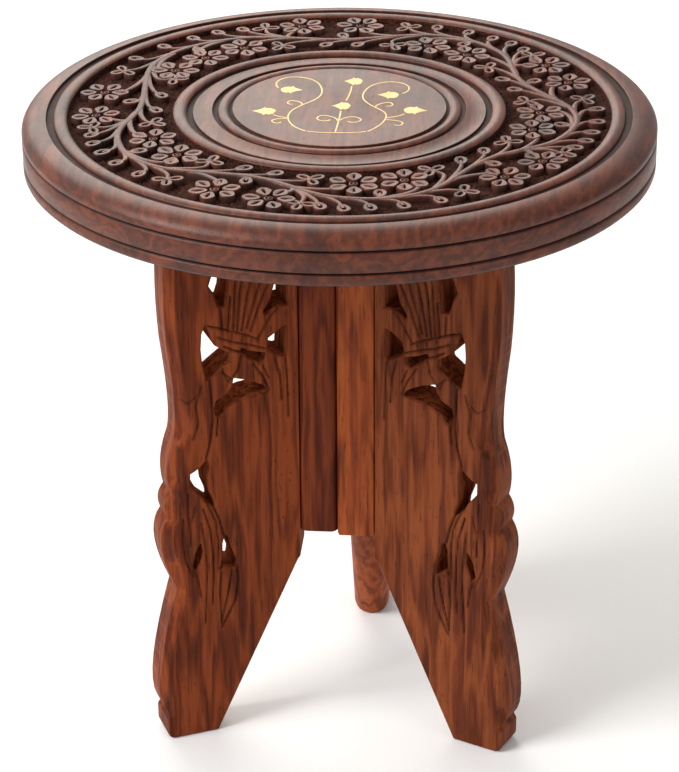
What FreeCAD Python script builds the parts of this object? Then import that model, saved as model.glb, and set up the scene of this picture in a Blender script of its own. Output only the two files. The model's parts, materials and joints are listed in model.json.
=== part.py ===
"""Small round folding table: a lift-off carved top on three hinged, scrolled boards.

The frame stands with +Z up. The origin is on the floor under the middle of the top, and -Y is the
front, where the two side legs open out from the hub. All lengths are in millimetres.
"""
import FreeCAD
import Part
import math
import os

V = FreeCAD.Vector
UP = V(0, 0, 1)

doc = FreeCAD.newDocument("folding_table")

# ---------------------------------------------------------------- driving sizes
SIZES = [
    ("overall_height", 330.0),      # floor to the face of the top
    ("top_diameter", 305.0),
    ("top_thickness", 26.0),
    ("disc_radius", 51.5),          # the flat middle of the top, which holds the brass
    ("band_inner", 80.0),           # carved band, between its two beads
    ("band_outer", 130.5),
    ("band_depth", 4.0),
    ("rim_start", 140.5),           # where the rim begins to fall away
    ("rim_drop", 5.0),
    ("disc_groove", 1.5),           # widths of the turned rings, from the disc outwards
    ("disc_bead", 5.5),
    ("cove_width", 9.5),
    ("moat_width", 3.0),
    ("band_bead", 6.5),
    ("bead_drop", 1.0),             # edges of a bead, below its crown
    ("groove_depth", 1.4),          # the shallowest ring groove, and how much deeper each next one is
    ("groove_step", 0.6),
    ("rim_groove_depth", 1.6),      # two V grooves round the rim
    ("rim_groove_half", 0.9),
    ("rim_groove_low", 6.0),
    ("rim_groove_high", 16.7),
    ("under_radius", 1.5),
    ("board_thickness", 19.0),      # all three legs and the post
    ("hub_front", 27.0),            # front of the hub, in front of the middle of the top
    ("hub_reach", 56.0),            # how much deeper the back leg is than a side leg
    ("hub_underside", 108.0),       # floor to the bottom of the hub
    ("heel_height", 95.0),          # floor to the lowest point of a side leg's inner edge
    ("leg_width", 73.4),            # mitre corner to the outside of the foot
    ("foot_length", 27.4),
    ("spread_angle", 115.0),        # between the back leg and each open side leg
    ("post_depth", 50.0),
    ("post_lift", 2.0),             # the post stops this far above the hub's underside
    ("nose_radius", 4.0),
    ("hinge_length", 38.0),
    ("hinge_inset", 42.0),          # middle of each hinge, in from the top and bottom of the hub
    ("knuckle_radius", 2.5),
    ("leaf_thickness", 1.2),
    ("leaf_width", 16.5),           # pin axis to the far edge
    ("pin_radius", 1.1),
    ("pin_clearance", 0.05),
    ("knuckle_gap", 0.3),           # between knuckles, and from a knuckle to the wood
    ("screw_shank", 1.2),
    ("screw_head", 2.5),
    ("screw_length", 11.0),
    ("screw_clearance", 0.05),      # round a screw, in its leaf
    ("post_screw_length", 30.0),
    ("post_screw_inset", 7.0),      # in from the back edge of the post
    ("brass_depth", 1.2),
    ("brass_clearance", 0.03),
    ("wire_width", 0.7),
    ("block_drop", 12.0),           # locating blocks below the top
    ("block_clearance", 0.6),
    ("block_width", 32.0),
    ("block_depth", 16.0),
    ("fork_arm", 9.0),              # the rear block's fork, round the back leg's outer edge
    ("fork_reach", 10.0),
    ("fork_back", 14.0),
    ("block_screw_length", 21.0),
]

sheet = doc.addObject("Spreadsheet::Sheet", "Sizes")
for row, (word, value) in enumerate(SIZES, start=1):
    sheet.set("A%d" % row, word)
    sheet.set("B%d" % row, str(value))
    sheet.setAlias("B%d" % row, word)
doc.recompute()
S = {word: float(sheet.get(word)) for word, _ in SIZES}

T = S["board_thickness"]
SPLAY = math.radians(S["spread_angle"] - 90.0)          # side legs point this far below sideways
TOP_UNDER = S["overall_height"] - S["top_thickness"]
MITRE_Y = -S["hub_front"] + 1.0                         # where a side leg's front face meets the hub
PIN_OFF = S["knuckle_radius"] + S["knuckle_gap"]        # pin axis to the wood on both sides of it
CORNER_Y = MITRE_Y + T / math.cos(SPLAY)                # back corner of the mitre
PIN_X = T + PIN_OFF
PIN_Y = CORNER_Y + (PIN_OFF - PIN_OFF * math.sin(SPLAY)) / math.cos(SPLAY)
HINGE_LEVEL = {"upper": TOP_UNDER - S["hinge_inset"], "lower": S["hub_underside"] + S["hinge_inset"]}


# ---------------------------------------------------------------- small helpers
def new_body(name):
    body = doc.addObject("PartDesign::Body", name)
    body.Label = name
    return body


def new_sketch(body, name, plane):
    """An empty sketch on one of the body's own origin planes."""
    sketch = body.newObject("Sketcher::SketchObject", name)
    base = [o for o in body.Origin.OriginFeatures if o.Role == plane][0]
    sketch.AttachmentSupport = [(base, "")]
    sketch.MapMode = "FlatFace"
    return sketch


def draw(sketch, points):
    """Close a loop: each entry is (x, y), or (x, y, mid_x, mid_y) for an arc that ends at (x, y)."""
    for i, point in enumerate(points):
        start = V(*points[i - 1][:2], 0)
        end = V(*point[:2], 0)
        if len(point) == 2:
            sketch.addGeometry(Part.LineSegment(start, end))
        else:
            sketch.addGeometry(Part.Arc(start, V(point[2], point[3], 0), end))


def loop_face(points):
    """The same closed loop as a face in the XY plane."""
    edges = []
    for i, point in enumerate(points):
        start = V(*points[i - 1][:2], 0)
        end = V(*point[:2], 0)
        if len(point) == 2:
            edges.append(Part.LineSegment(start, end).toShape())
        else:
            edges.append(Part.Arc(start, V(point[2], point[3], 0), end).toShape())
    return Part.Face(Part.Wire(edges))


def pad(body, sketch, name, expression, reverse):
    feature = body.newObject("PartDesign::Pad", name)
    feature.Profile = sketch
    feature.setExpression("Length", expression)
    feature.Reversed = reverse
    body.Tip = feature
    return feature


def pocket(body, sketch, name):
    """Cut right through, both ways from the sketch."""
    feature = body.newObject("PartDesign::Pocket", name)
    feature.Profile = sketch
    feature.Type = 1
    feature.Midplane = True
    body.Tip = feature
    return feature


def feature_node(name, shape):
    node = doc.addObject("Part::Feature", name)
    node.Shape = shape
    node.Label = name
    return node


def cut_node(name, base, tool_shape):
    """A body with its screw holes or pockets taken out of it."""
    tool = doc.addObject("Part::Feature", name + "_cutters")
    tool.Shape = tool_shape
    cut = doc.addObject("Part::Cut", name + "_cut")
    cut.Base = base
    cut.Tool = tool
    cut.Label = name
    base.Label = name + "_blank"
    return cut


# ---------------------------------------------------------------- screws
def screw(at, into, length, grow=0.0):
    """A countersunk wood screw whose flat head is at the point, driven along the direction."""
    head = S["screw_head"] + grow
    shank = S["screw_shank"] + grow
    sink = S["screw_head"] - S["screw_shank"]
    tip = shank * 0.8
    profile = Part.Wire(Part.makePolygon([
        V(0, 0, 0), V(head, 0, 0), V(shank, 0, sink), V(shank, 0, length - tip), V(0, 0, length),
        V(0, 0, 0)]))
    solid = Part.Face(profile).revolve(V(0, 0, 0), UP, 360)
    solid.Placement = FreeCAD.Placement(at, FreeCAD.Rotation(UP, into))
    return solid


# ---------------------------------------------------------------- the turned top
def build_top():
    """Turn the top, then sink the grooves for the brass."""
    body = new_body("tabletop_turning")
    sketch = new_sketch(body, "top_profile", "XZ_Plane")
    face = S["overall_height"]
    radius = S["top_diameter"] / 2
    disc, inner, outer, rim = S["disc_radius"], S["band_inner"], S["band_outer"], S["rim_start"]
    disc_ring = disc + S["disc_groove"]
    disc_bead = disc_ring + S["disc_bead"]
    inner_bead = inner - S["band_bead"]
    outer_bead = outer + S["band_bead"]
    moat = inner_bead - S["moat_width"]
    cove = moat - S["cove_width"]
    floor = face - S["band_depth"]
    drop = S["rim_drop"]
    side = face - S["bead_drop"]
    shallow = face - S["groove_depth"]
    middle = shallow - S["groove_step"]
    deep = middle - S["groove_step"]
    lip = face - S["groove_step"]
    under = S["under_radius"]
    bevel = under * (1.0 - math.sqrt(0.5))
    notch, half = S["rim_groove_depth"], S["rim_groove_half"]
    profile = [
        (0, TOP_UNDER), (radius - under, TOP_UNDER),
        (radius, TOP_UNDER + under, radius - bevel, TOP_UNDER + bevel),
    ]
    for level in (TOP_UNDER + S["rim_groove_low"], TOP_UNDER + S["rim_groove_high"]):
        profile += [(radius, level - half), (radius - notch, level), (radius, level + half)]
    profile += [
        (radius, face - drop - 1.0),
        # the rim falls away in one soft round
        (rim, lip, (radius + rim) / 2 + 1.7, face - drop / 2 + 0.6),
        (rim, middle), (outer_bead, middle), (outer_bead, side),
        (outer, side, (outer + outer_bead) / 2, face),
        # the carved band's floor
        (outer, floor), (inner, floor), (inner, side),
        (inner_bead, side, (inner + inner_bead) / 2, face),
        (inner_bead, deep), (moat, deep),
        # a shallow cove, then the groove and bead round the disc
        (moat, shallow), (cove, lip, (moat + cove) / 2 + 0.25, shallow - 0.1),
        (cove, middle), (disc_bead, middle), (disc_bead, side),
        (disc_ring, side, (disc_bead + disc_ring) / 2, face),
        (disc_ring, shallow), (disc, shallow), (disc, face), (0, face),
    ]
    draw(sketch, profile)
    turned = body.newObject("PartDesign::Revolution", "top_turned")
    turned.Profile = sketch
    turned.ReferenceAxis = (sketch, ["V_Axis"])
    turned.Angle = 360
    body.Tip = turned
    return body


# ---------------------------------------------------------------- brass inlay
def leaf_face(centre, turn, length, width, grow):
    """A pointed leaf: two shoulders and a tip, drawn along +X from its stalk end."""
    a, b = length / 2 + grow, width / 2 + grow
    points = [
        (0.1 * a, b, 0.62 * a, 0.62 * b), (-a, 0, -0.72 * a, 0.72 * b),
        (0.1 * a, -b, -0.72 * a, -0.72 * b), (a, 0, 0.62 * a, -0.62 * b),
    ]
    face = loop_face(points)
    face.rotate(V(0, 0, 0), UP, turn)
    face.translate(V(centre[0], centre[1], 0))
    return face


def wire_face(points, grow):
    """A thin strip of even width that follows a smooth line through the points."""
    line = Part.BSplineCurve()
    line.interpolate([V(x, y, 0) for x, y in points])
    half = S["wire_width"] / 2 + grow
    steps = 6 * len(points)
    sides = ([], [])
    for i in range(steps + 1):
        t = line.FirstParameter + (line.LastParameter - line.FirstParameter) * i / steps
        along = line.tangent(t)[0]
        across = UP.cross(along).normalize()
        sides[0].append(line.value(t) + across * half)
        sides[1].append(line.value(t) - across * half)
    left, right = Part.BSplineCurve(), Part.BSplineCurve()
    left.interpolate(sides[0])
    right.interpolate(list(reversed(sides[1])))
    ends = [Part.makeLine(sides[0][-1], sides[1][-1]), Part.makeLine(sides[1][0], sides[0][0])]
    return Part.Face(Part.Wire([left.toShape(), ends[0], right.toShape(), ends[1]]))


# Each leaf: its middle, the way its tip points in degrees, and its length and width.
LEAVES = {
    "inlay_leaf_crown": ((4.0, 34.0), 185.0, 9.6, 11.4),
    "inlay_leaf_heart": ((0.8, 0.4), 187.0, 9.4, 11.4),
    "inlay_leaf_left_scroll": ((-25.0, 20.4), -5.0, 11.4, 10.2),
    "inlay_leaf_left_low": ((-35.4, -9.0), 175.0, 12.0, 10.6),
    "inlay_leaf_right_scroll": ((22.4, 16.6), 183.0, 11.0, 10.4),
    "inlay_leaf_right_low": ((36.8, -3.0), 2.0, 12.0, 10.6),
}

# The vine's wires, as the points that each smooth line passes through.
VINES = {
    "inlay_vine_centre": [
        [(3.8, 27.2), (3.6, 17.0), (2.6, 7.6)],
        [(1.2, -6.4), (1.2, -20.0), (0.8, -33.2)],
        [(0.5, -18.9), (-3.4, -13.6), (-7.4, -13.0), (-9.3, -16.6), (-6.6, -19.6), (-3.0, -18.0)],
        [(2.0, -18.3), (4.4, -14.8), (8.6, -13.6), (11.7, -17.3), (9.1, -20.5), (5.6, -19.6)],
        [(-12.6, -33.4), (-6.3, -34.4), (0.8, -34.3), (7.8, -33.8), (15.2, -32.0)],
    ],
    "inlay_vine_left": [
        [(-13.2, -33.2), (-22.3, -21.0), (-22.4, -7.9), (-17.6, 0.8), (-10.9, 11.6), (-11.1, 25.2),
         (-15.9, 34.5), (-24.7, 38.1), (-31.3, 34.9), (-33.2, 26.5), (-31.8, 22.9)],
        [(-30.4, -13.6), (-27.6, -15.4), (-23.6, -16.4)],
        [(-18.4, 0.6), (-21.2, 5.2), (-24.4, 5.4), (-25.2, 2.4), (-22.6, 1.0)],
        [(-23.4, -18.0), (-27.4, -18.4), (-30.4, -21.0), (-28.6, -24.0), (-25.8, -22.6)],
    ],
    "inlay_vine_right": [
        [(15.8, -31.8), (22.7, -17.8), (22.5, -7.4), (16.7, 0.4), (10.8, 10.4), (10.7, 21.2),
         (15.6, 31.2), (24.5, 34.5), (31.2, 29.5), (31.4, 22.4), (29.0, 19.0)],
        [(31.8, -8.0), (28.2, -11.6), (23.8, -13.4)],
        [(17.6, 0.2), (20.6, 5.4), (24.0, 6.4), (25.4, 3.2), (22.4, 1.6)],
        [(23.8, -16.2), (27.8, -16.8), (31.6, -19.4), (30.8, -22.8), (27.8, -22.2)],
    ],
}


def inlay_shape(name, grow):
    """One brass node: a leaf, or a group of wires, as solids let into the top's face."""
    if name in LEAVES:
        faces = [leaf_face(*LEAVES[name], grow)]
    else:
        faces = [wire_face(points, grow) for points in VINES[name]]
    solids = [face.extrude(V(0, 0, -S["brass_depth"])) for face in faces]
    shape = solids[0] if len(solids) == 1 else Part.makeCompound(solids)
    shape.translate(V(0, 0, S["overall_height"]))
    return shape


# ---------------------------------------------------------------- the scrolled boards
def scroll_edge(shift):
    """The outer edge of a leg, from its top down to its foot, sawn as a run of shallow lobes."""
    edge = S["leg_width"] + shift
    high = TOP_UNDER
    toe = 12.0
    corner = 4.0
    cut = corner * (1.0 - math.sqrt(0.5))
    return [
        (edge - 11.6, high),
        (edge - 7.8, 0.73 * high, edge - 7.0, 0.87 * high),
        (edge - 10.2, 0.566 * high, edge - 10.9, 0.625 * high),
        (edge - 7.2, 0.465 * high, edge - 6.2, 0.513 * high),
        (edge - 5.2, 0.421 * high, edge - 4.2, 0.444 * high),
        (edge - 8.6, 0.2845 * high, edge - 1.4, 0.368 * high),
        (edge - 1.6, toe + 2.5, edge + 1.9, 0.125 * high),
        (edge, toe), (edge, corner), (edge - corner, 0.0, edge - cut, cut),
        (edge - S["foot_length"], 0.0),
    ]


def pierced_holes(shift):
    """The openings sawn through each leg: a palmette under the top, and a sprig lower down.

    The pattern is drawn for a board 73.4 wide and 304 high, and stretches with the board.
    """
    across, up = S["leg_width"] / 73.4, TOP_UNDER / 304.0
    pattern = [
        # upper corners of the palmette, left and right
        [(5.0, 258.0), (9.0, 258.0), (13.6, 241.0), (17.7, 234.6), (16.0, 233.6), (11.0, 237.4),
         (5.0, 237.4)],
        [(34.0, 261.0), (42.0, 261.0), (44.8, 253.0), (42.5, 249.2), (40.5, 242.0), (37.1, 241.0),
         (35.4, 246.0)],
        # below the band: left petal, middle petal, right petal
        [(5.3, 226.0), (8.4, 224.6), (15.0, 220.2), (15.6, 214.6), (12.2, 211.6), (6.2, 209.2)],
        [(16.4, 212.6), (23.7, 214.8), (29.0, 217.6), (29.4, 215.0), (25.2, 211.8), (19.5, 207.4),
         (17.0, 209.4)],
        [(47.0, 233.0), (44.5, 226.0), (42.8, 221.0), (38.5, 218.0), (34.5, 215.4), (34.8, 211.0),
         (38.5, 208.4), (44.5, 204.0), (47.2, 203.0), (49.0, 212.0), (49.6, 220.0), (49.0, 228.0)],
        # the leaf that turns away under the petals
        [(14.8, 191.4), (18.0, 195.2), (25.8, 199.2), (33.2, 201.6), (34.2, 196.6), (37.5, 193.2),
         (42.5, 190.6), (43.8, 186.0), (42.2, 181.4), (39.6, 182.0), (36.5, 186.0), (31.5, 189.0),
         (26.0, 190.4)],
        # the sprig: slot, fork and drop
        [(48.0, 159.5), (50.6, 156.5), (54.0, 153.8), (57.0, 152.4), (57.0, 146.5), (52.4, 140.6),
         (49.8, 135.6), (44.6, 130.8), (45.2, 135.0), (47.4, 141.0), (48.2, 149.0), (47.0, 155.0)],
        [(39.6, 115.5), (41.2, 110.0), (41.4, 102.0), (43.0, 95.0), (40.2, 97.6), (34.6, 94.8),
         (34.0, 99.0), (36.6, 106.6), (37.8, 112.0)],
        [(52.4, 113.0), (55.6, 106.6), (57.0, 100.0), (56.0, 96.6), (53.4, 101.0), (51.6, 107.0)],
    ]
    return [[(shift + x * across, z * up) for x, z in hole] for hole in pattern]


def draw_holes(body, name, plane, shift):
    sketch = new_sketch(body, name + "_piercing", plane)
    for hole in pierced_holes(shift):
        draw(sketch, hole)
    return pocket(body, sketch, name + "_pierced")


def build_side_leg(name, hand):
    """A side leg with its mitred inner end: hand is -1 for the left one and +1 for the right."""
    body = new_body(name)
    back = T * math.tan(SPLAY)
    scroll = scroll_edge(0.0)
    heel = S["heel_height"]
    outline = scroll[1:] + [(0.0, heel), (-back, heel), (-back, TOP_UNDER), scroll[0]]
    sketch = new_sketch(body, name + "_outline", "XZ_Plane")
    draw(sketch, outline)
    pad(body, sketch, name + "_board", "Sizes.board_thickness", hand > 0)
    draw_holes(body, name, "XZ_Plane", 0.0)
    mitre = new_sketch(body, name + "_mitre", "XY_Plane")
    draw(mitre, [(-back - 1, 0.0), (0.0, 0.0), (-back, hand * T), (-back - 1, hand * T)])
    pocket(body, mitre, name + "_mitred")
    turn = 270.0 + hand * (180.0 - S["spread_angle"])
    body.Placement = FreeCAD.Placement(V(hand * T, MITRE_Y, 0), FreeCAD.Rotation(UP, turn))
    return body


def build_back_leg():
    """The fixed leg: the same scrolled board made deeper, so that its front is half of the hub."""
    body = new_body("back_leg_board")
    start = -S["hub_front"]
    shift = MITRE_Y + S["hub_reach"]
    heel = shift + 1.0
    scroll = scroll_edge(shift)
    under = S["hub_underside"]
    outline = scroll[1:] + [
        (heel, S["heel_height"] - 2.0), (heel - 6.0, under, heel - 2.0, under - 3.0),
        (start, under), (start, TOP_UNDER), scroll[0],
    ]
    sketch = new_sketch(body, "back_leg_outline", "YZ_Plane")
    draw(sketch, outline)
    pad(body, sketch, "back_leg_pad", "Sizes.board_thickness", False)
    draw_holes(body, "back_leg", "YZ_Plane", shift)
    round_nose(body, "back_leg_nose", start, "Sizes.nose_radius * 0.75")
    return body


def upright_edges(shape, y):
    """Names of the vertical edges that stand in the plane of that y."""
    names = []
    for i, edge in enumerate(shape.Edges, start=1):
        box = edge.BoundBox
        if abs(box.YMin - y) < 1e-3 and abs(box.YMax - y) < 1e-3 and box.ZLength > T:
            names.append("Edge%d" % i)
    return names


def round_nose(body, name, y, expression):
    """Round the upright edges of a board's front."""
    doc.recompute()
    board = body.Tip
    nose = body.newObject("PartDesign::Fillet", name)
    nose.Base = (board, upright_edges(board.Shape, y))
    nose.setExpression("Radius", expression)
    body.Tip = nose
    return nose


def build_post():
    """The hinge post: the other half of the hub, screwed flat against the back leg."""
    body = new_body("hinge_post_board")
    front = -S["hub_front"]
    foot = S["hub_underside"] + S["post_lift"]
    back = front + S["post_depth"]
    outline = [(back, foot), (back, TOP_UNDER), (front, TOP_UNDER), (front, foot)]
    sketch = new_sketch(body, "hinge_post_outline", "YZ_Plane")
    draw(sketch, outline)
    pad(body, sketch, "hinge_post_pad", "Sizes.board_thickness", True)
    round_nose(body, "hinge_post_nose", front, "Sizes.nose_radius")
    return body


# ---------------------------------------------------------------- butt hinges
def knuckle(low, high, bore):
    outer = Part.makeCylinder(S["knuckle_radius"], high - low, V(0, 0, low))
    return outer.cut(Part.makeCylinder(bore, high - low, V(0, 0, low)))


def hinge_levels():
    """Low and high of the bottom, middle and top knuckles, about the hinge's middle."""
    third = S["hinge_length"] / 3
    gap = S["knuckle_gap"] / 2
    half = S["hinge_length"] / 2
    rise = third / 2
    return [(-half, -rise - gap), (-rise + gap, rise - gap), (rise + gap, half)]


def hinge_leaf(spans, bore, holes):
    """A leaf lying along +X from the pin axis, its back in the plane y = -PIN_OFF."""
    half = S["hinge_length"] / 2
    clear = S["knuckle_radius"] + S["knuckle_gap"] + 0.2
    wide, thick = S["leaf_width"] - clear, S["leaf_thickness"]
    shape = Part.makeBox(wide, thick, S["hinge_length"], V(clear, -PIN_OFF, -half))
    for low, high in spans:
        web = Part.makeBox(clear + 0.5, thick, high - low, V(0, -PIN_OFF, low))
        web = web.cut(Part.makeCylinder(bore, high - low, V(0, 0, low)))
        shape = shape.fuse(web).fuse(knuckle(low, high, bore))
    for level in holes:
        shape = shape.cut(leaf_screw(level, S["screw_clearance"]))
    return shape.removeSplitter()


def leaf_screw(level, grow):
    at = V(S["leaf_width"] * 0.62, -PIN_OFF + S["leaf_thickness"], level)
    return screw(at, V(0, -1, 0), S["screw_length"], grow)


def build_hinge(hand, height):
    """Two leaves, a pin and four screws, as they lie with the side leg open."""
    levels = hinge_levels()
    screw_levels = (-S["hinge_length"] * 0.32, S["hinge_length"] * 0.32)
    axis = V(hand * PIN_X, PIN_Y, height)
    # Made for the right side. The left one is its mirror image.
    fixed_turn = FreeCAD.Rotation(UP, 90.0)
    moving_turn = FreeCAD.Rotation(UP, 90.0 - S["spread_angle"])
    fixed = hinge_leaf([levels[0], levels[2]], S["pin_radius"], screw_levels)
    moving = hinge_leaf([levels[1]], S["pin_radius"] + S["pin_clearance"], screw_levels)
    fixed_screws = Part.makeCompound([leaf_screw(level, 0.0) for level in screw_levels])
    moving_screws = Part.makeCompound([leaf_screw(level, 0.0) for level in screw_levels])
    pieces = {}
    for key, shape, turn, flip in (
        ("post_leaf", fixed, fixed_turn, True), ("leg_leaf", moving, moving_turn, False),
        ("post_screws", fixed_screws, fixed_turn, True), ("leg_screws", moving_screws, moving_turn, False),
    ):
        shape = shape.mirror(V(0, 0, 0), V(0, 1, 0)) if flip else shape
        shape = shape.copy()
        shape.Placement = FreeCAD.Placement(V(0, 0, 0), turn).multiply(shape.Placement)
        shape = shape if hand > 0 else shape.mirror(V(0, 0, 0), V(1, 0, 0))
        shape.translate(axis)
        pieces[key] = shape
    half = S["hinge_length"] / 2
    pin = Part.makeCylinder(S["pin_radius"], S["hinge_length"], V(0, 0, -half))
    pin = pin.fuse(Part.makeCylinder(S["pin_radius"] + 0.8, 0.8, V(0, 0, half))).removeSplitter()
    pin.translate(axis)
    pieces["pin"] = pin
    return pieces


# ---------------------------------------------------------------- put it together
nodes = []

top = build_top()
back_leg = build_back_leg()
post = build_post()
side_legs = {"left": build_side_leg("left_leg_board", -1), "right": build_side_leg("right_leg_board", 1)}
doc.recompute()

cutters = {"left": [], "right": [], "post": [], "back": []}
for side, hand in (("left", -1), ("right", 1)):
    for level_name in ("upper", "lower"):
        stem = "%s_%s_hinge" % (side, level_name)
        pieces = build_hinge(hand, HINGE_LEVEL[level_name])
        for key in ("post_leaf", "leg_leaf", "pin", "post_screws", "leg_screws"):
            nodes.append(feature_node("%s_%s" % (stem, key), pieces[key]))
        cutters[side].append(pieces["leg_screws"])
        cutters["post" if hand < 0 else "back"].append(pieces["post_screws"])

# Screws that hold the post to the back leg, driven from the post's outer face.
post_screws = []
post_low = S["hub_underside"] + S["post_lift"]
post_screw_y = -S["hub_front"] + S["post_depth"] - S["post_screw_inset"]
for level in (0.12, 0.5, 0.88):
    at = V(-T, post_screw_y, post_low + level * (TOP_UNDER - post_low))
    post_screws.append(screw(at, V(1, 0, 0), S["post_screw_length"]))
post_screws = Part.makeCompound(post_screws)
nodes.append(feature_node("post_screws", post_screws))
cutters["post"].append(post_screws)
cutters["back"].append(post_screws)

# Locating blocks under the top: one in front of the hub, and a fork round the back leg's outer end.
gap = S["block_clearance"]
block_high = S["block_drop"]
block_low = TOP_UNDER - block_high
block_wide, block_deep = S["block_width"], S["block_depth"]
front_y = -S["hub_front"] - gap
front_corner = V(-block_wide / 2, front_y - block_deep, block_low)
front_block = Part.makeBox(block_wide, block_deep, block_high, front_corner)
bulge = scroll_edge(MITRE_Y + S["hub_reach"])[1][2]     # the back leg's outer edge, at its fullest
arm, reach, back = S["fork_arm"], S["fork_reach"], S["fork_back"]
fork_y = bulge + gap - reach
fork = Part.makeBox(T + 2 * arm, back + reach, block_high, V(-arm, fork_y, block_low))
fork = fork.cut(Part.makeBox(T + 2 * gap, reach, block_high, V(-gap, fork_y, block_low)))
block_screw_points = {
    "front_block": [V(side * T * 0.5, front_y - block_deep / 2, block_low) for side in (-1, 1)],
    "rear_block": [V(T / 2 + side * T * 0.5, bulge + gap + back / 2, block_low) for side in (-1, 1)],
}
top_cutters = []
for name, shape in (("front_block", front_block), ("rear_block", fork)):
    points = block_screw_points[name]
    screws = Part.makeCompound([screw(point, UP, S["block_screw_length"]) for point in points])
    nodes.append(cut_node(name, feature_node(name + "_wood", shape), screws))
    nodes.append(feature_node(name + "_screws", screws))
    top_cutters.append(screws)

# The brass, and the grooves that it lies in.
for name in list(LEAVES) + list(VINES):
    nodes.append(feature_node(name, inlay_shape(name, 0.0)))
    top_cutters.append(inlay_shape(name, S["brass_clearance"]))

nodes.append(cut_node("tabletop", top, Part.makeCompound(top_cutters)))
nodes.append(cut_node("back_leg", back_leg, Part.makeCompound(cutters["back"])))
nodes.append(cut_node("hinge_post", post, Part.makeCompound(cutters["post"])))
for side in ("left", "right"):
    nodes.append(cut_node(side + "_leg", side_legs[side], Part.makeCompound(cutters[side])))

# ---------------------------------------------------------------- check and write
doc.recompute()
for item in doc.Objects:
    if "Invalid" in item.State or "Error" in item.State:
        raise RuntimeError("%s failed: %s" % (item.Name, item.State))
for node in nodes:
    if node.Shape.isNull() or not node.Shape.isValid() or not node.Shape.Solids:
        raise RuntimeError("%s has no valid solid" % node.Label)

os.makedirs("parts", exist_ok=True)
for node in nodes:
    node.Shape.exportStep("parts/%s.step" % node.Label)
    print("%-28s %4d solids %12.1f mm3" % (node.Label, len(node.Shape.Solids), node.Shape.Volume))
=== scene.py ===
# %% [markdown]
# # A carved folding table, dressed round its measured frame
#
# The frame of this table (every board, hinge and brass strip at its real size) is already built.
# This file gives it its looks: the turned and carved top, the pierced legs, the wax and the brass.
# Nothing here moves or resizes the frame: a new piece is made in the same place as the plain one
# that it stands for.

# %% Start from the frame
import json
import math

import bmesh
import bpy
import numpy as np
from mathutils import Matrix, Vector

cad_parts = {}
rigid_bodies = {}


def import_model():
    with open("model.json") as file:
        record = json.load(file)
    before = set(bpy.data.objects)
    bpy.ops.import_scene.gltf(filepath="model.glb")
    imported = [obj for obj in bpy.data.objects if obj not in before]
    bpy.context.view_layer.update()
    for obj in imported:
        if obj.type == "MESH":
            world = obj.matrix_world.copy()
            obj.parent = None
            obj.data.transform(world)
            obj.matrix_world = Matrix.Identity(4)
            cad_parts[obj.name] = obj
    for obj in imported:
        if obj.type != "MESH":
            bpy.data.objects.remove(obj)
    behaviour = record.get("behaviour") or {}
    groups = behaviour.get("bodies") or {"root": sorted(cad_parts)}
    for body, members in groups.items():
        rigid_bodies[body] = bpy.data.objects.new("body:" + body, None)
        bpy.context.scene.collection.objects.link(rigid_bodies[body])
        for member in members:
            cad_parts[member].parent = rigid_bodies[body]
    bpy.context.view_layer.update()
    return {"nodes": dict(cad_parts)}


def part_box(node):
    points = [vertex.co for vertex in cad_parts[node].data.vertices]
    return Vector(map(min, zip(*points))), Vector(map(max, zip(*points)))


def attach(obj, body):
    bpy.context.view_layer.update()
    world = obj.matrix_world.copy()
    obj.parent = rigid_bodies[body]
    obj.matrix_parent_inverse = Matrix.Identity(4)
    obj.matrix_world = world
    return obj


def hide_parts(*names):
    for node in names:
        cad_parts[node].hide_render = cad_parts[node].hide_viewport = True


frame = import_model()

# %% [markdown]
# ## Sizes, read from the frame
#
# Blender works in metres. Small carving is easier to think about in millimetres, so every surface
# below is worked out in millimetres and scaled once, when its mesh is made. The big sizes come from
# the frame's own boxes.

# %% Read the main sizes
MM = 0.001
top_low, top_high = (np.array(corner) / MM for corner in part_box("tabletop"))
post_low, post_high = (np.array(corner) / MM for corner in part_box("hinge_post"))
back_low, back_high = (np.array(corner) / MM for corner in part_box("back_leg"))

FACE = top_high[2]                  # the top's face above the floor
UNDER = top_low[2]                  # and its underside
RIM = top_high[0]                   # radius of the top
BOARD = post_high[0] - post_low[0]  # thickness of every board
HUB_FRONT = post_low[1]
MITRE_Y = HUB_FRONT + 1.0           # where a side leg's front face meets the hub
SPREAD = math.radians(25.0)         # how far each side leg turns forward from straight out
print("top %.0f mm across and %.0f mm up, boards %.0f mm thick" % (2 * RIM, FACE, BOARD))

# %% [markdown]
# ## From a grid of numbers to a mesh
#
# A surface is a grid of points: walk along one way and you trace a profile, walk the other way and
# you carry that profile along a path or round an axis. These helpers join neighbouring points with
# four-sided faces and put many such skins into one piece. Points that fall in the same place, as at
# the tip of a dome, are merged, so each skin is closed like a real solid.

# %% Helpers for grids and pieces
def grid_faces(rows, columns, loop=True):
    """Four-sided faces between neighbours of a grid; with loop the last column meets the first."""
    spans = columns if loop else columns - 1
    row, column = np.meshgrid(np.arange(rows - 1), np.arange(spans), indexing="ij")
    near, far = row * columns, (row + 1) * columns
    after = (column + 1) % columns
    return np.stack([near + column, near + after, far + after, far + column], -1).reshape(-1, 4)


def skin(points, loop=True):
    """A grid of points as (points, faces); the fourth number of a point says how dark it is painted, as dark
    wax and painted shade in the cuts.
    """
    rows, columns = points.shape[:2]
    return points.reshape(-1, points.shape[-1]), grid_faces(rows, columns, loop)


print("a grid of 3 by 4 points, joined round, has", len(grid_faces(3, 4)), "faces")

# %% From skins to a piece
MERGE = 2e-7                        # metres: points closer than this are one point
TINY = 1e-7                         # metres: an edge shorter than this is dissolved


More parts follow.
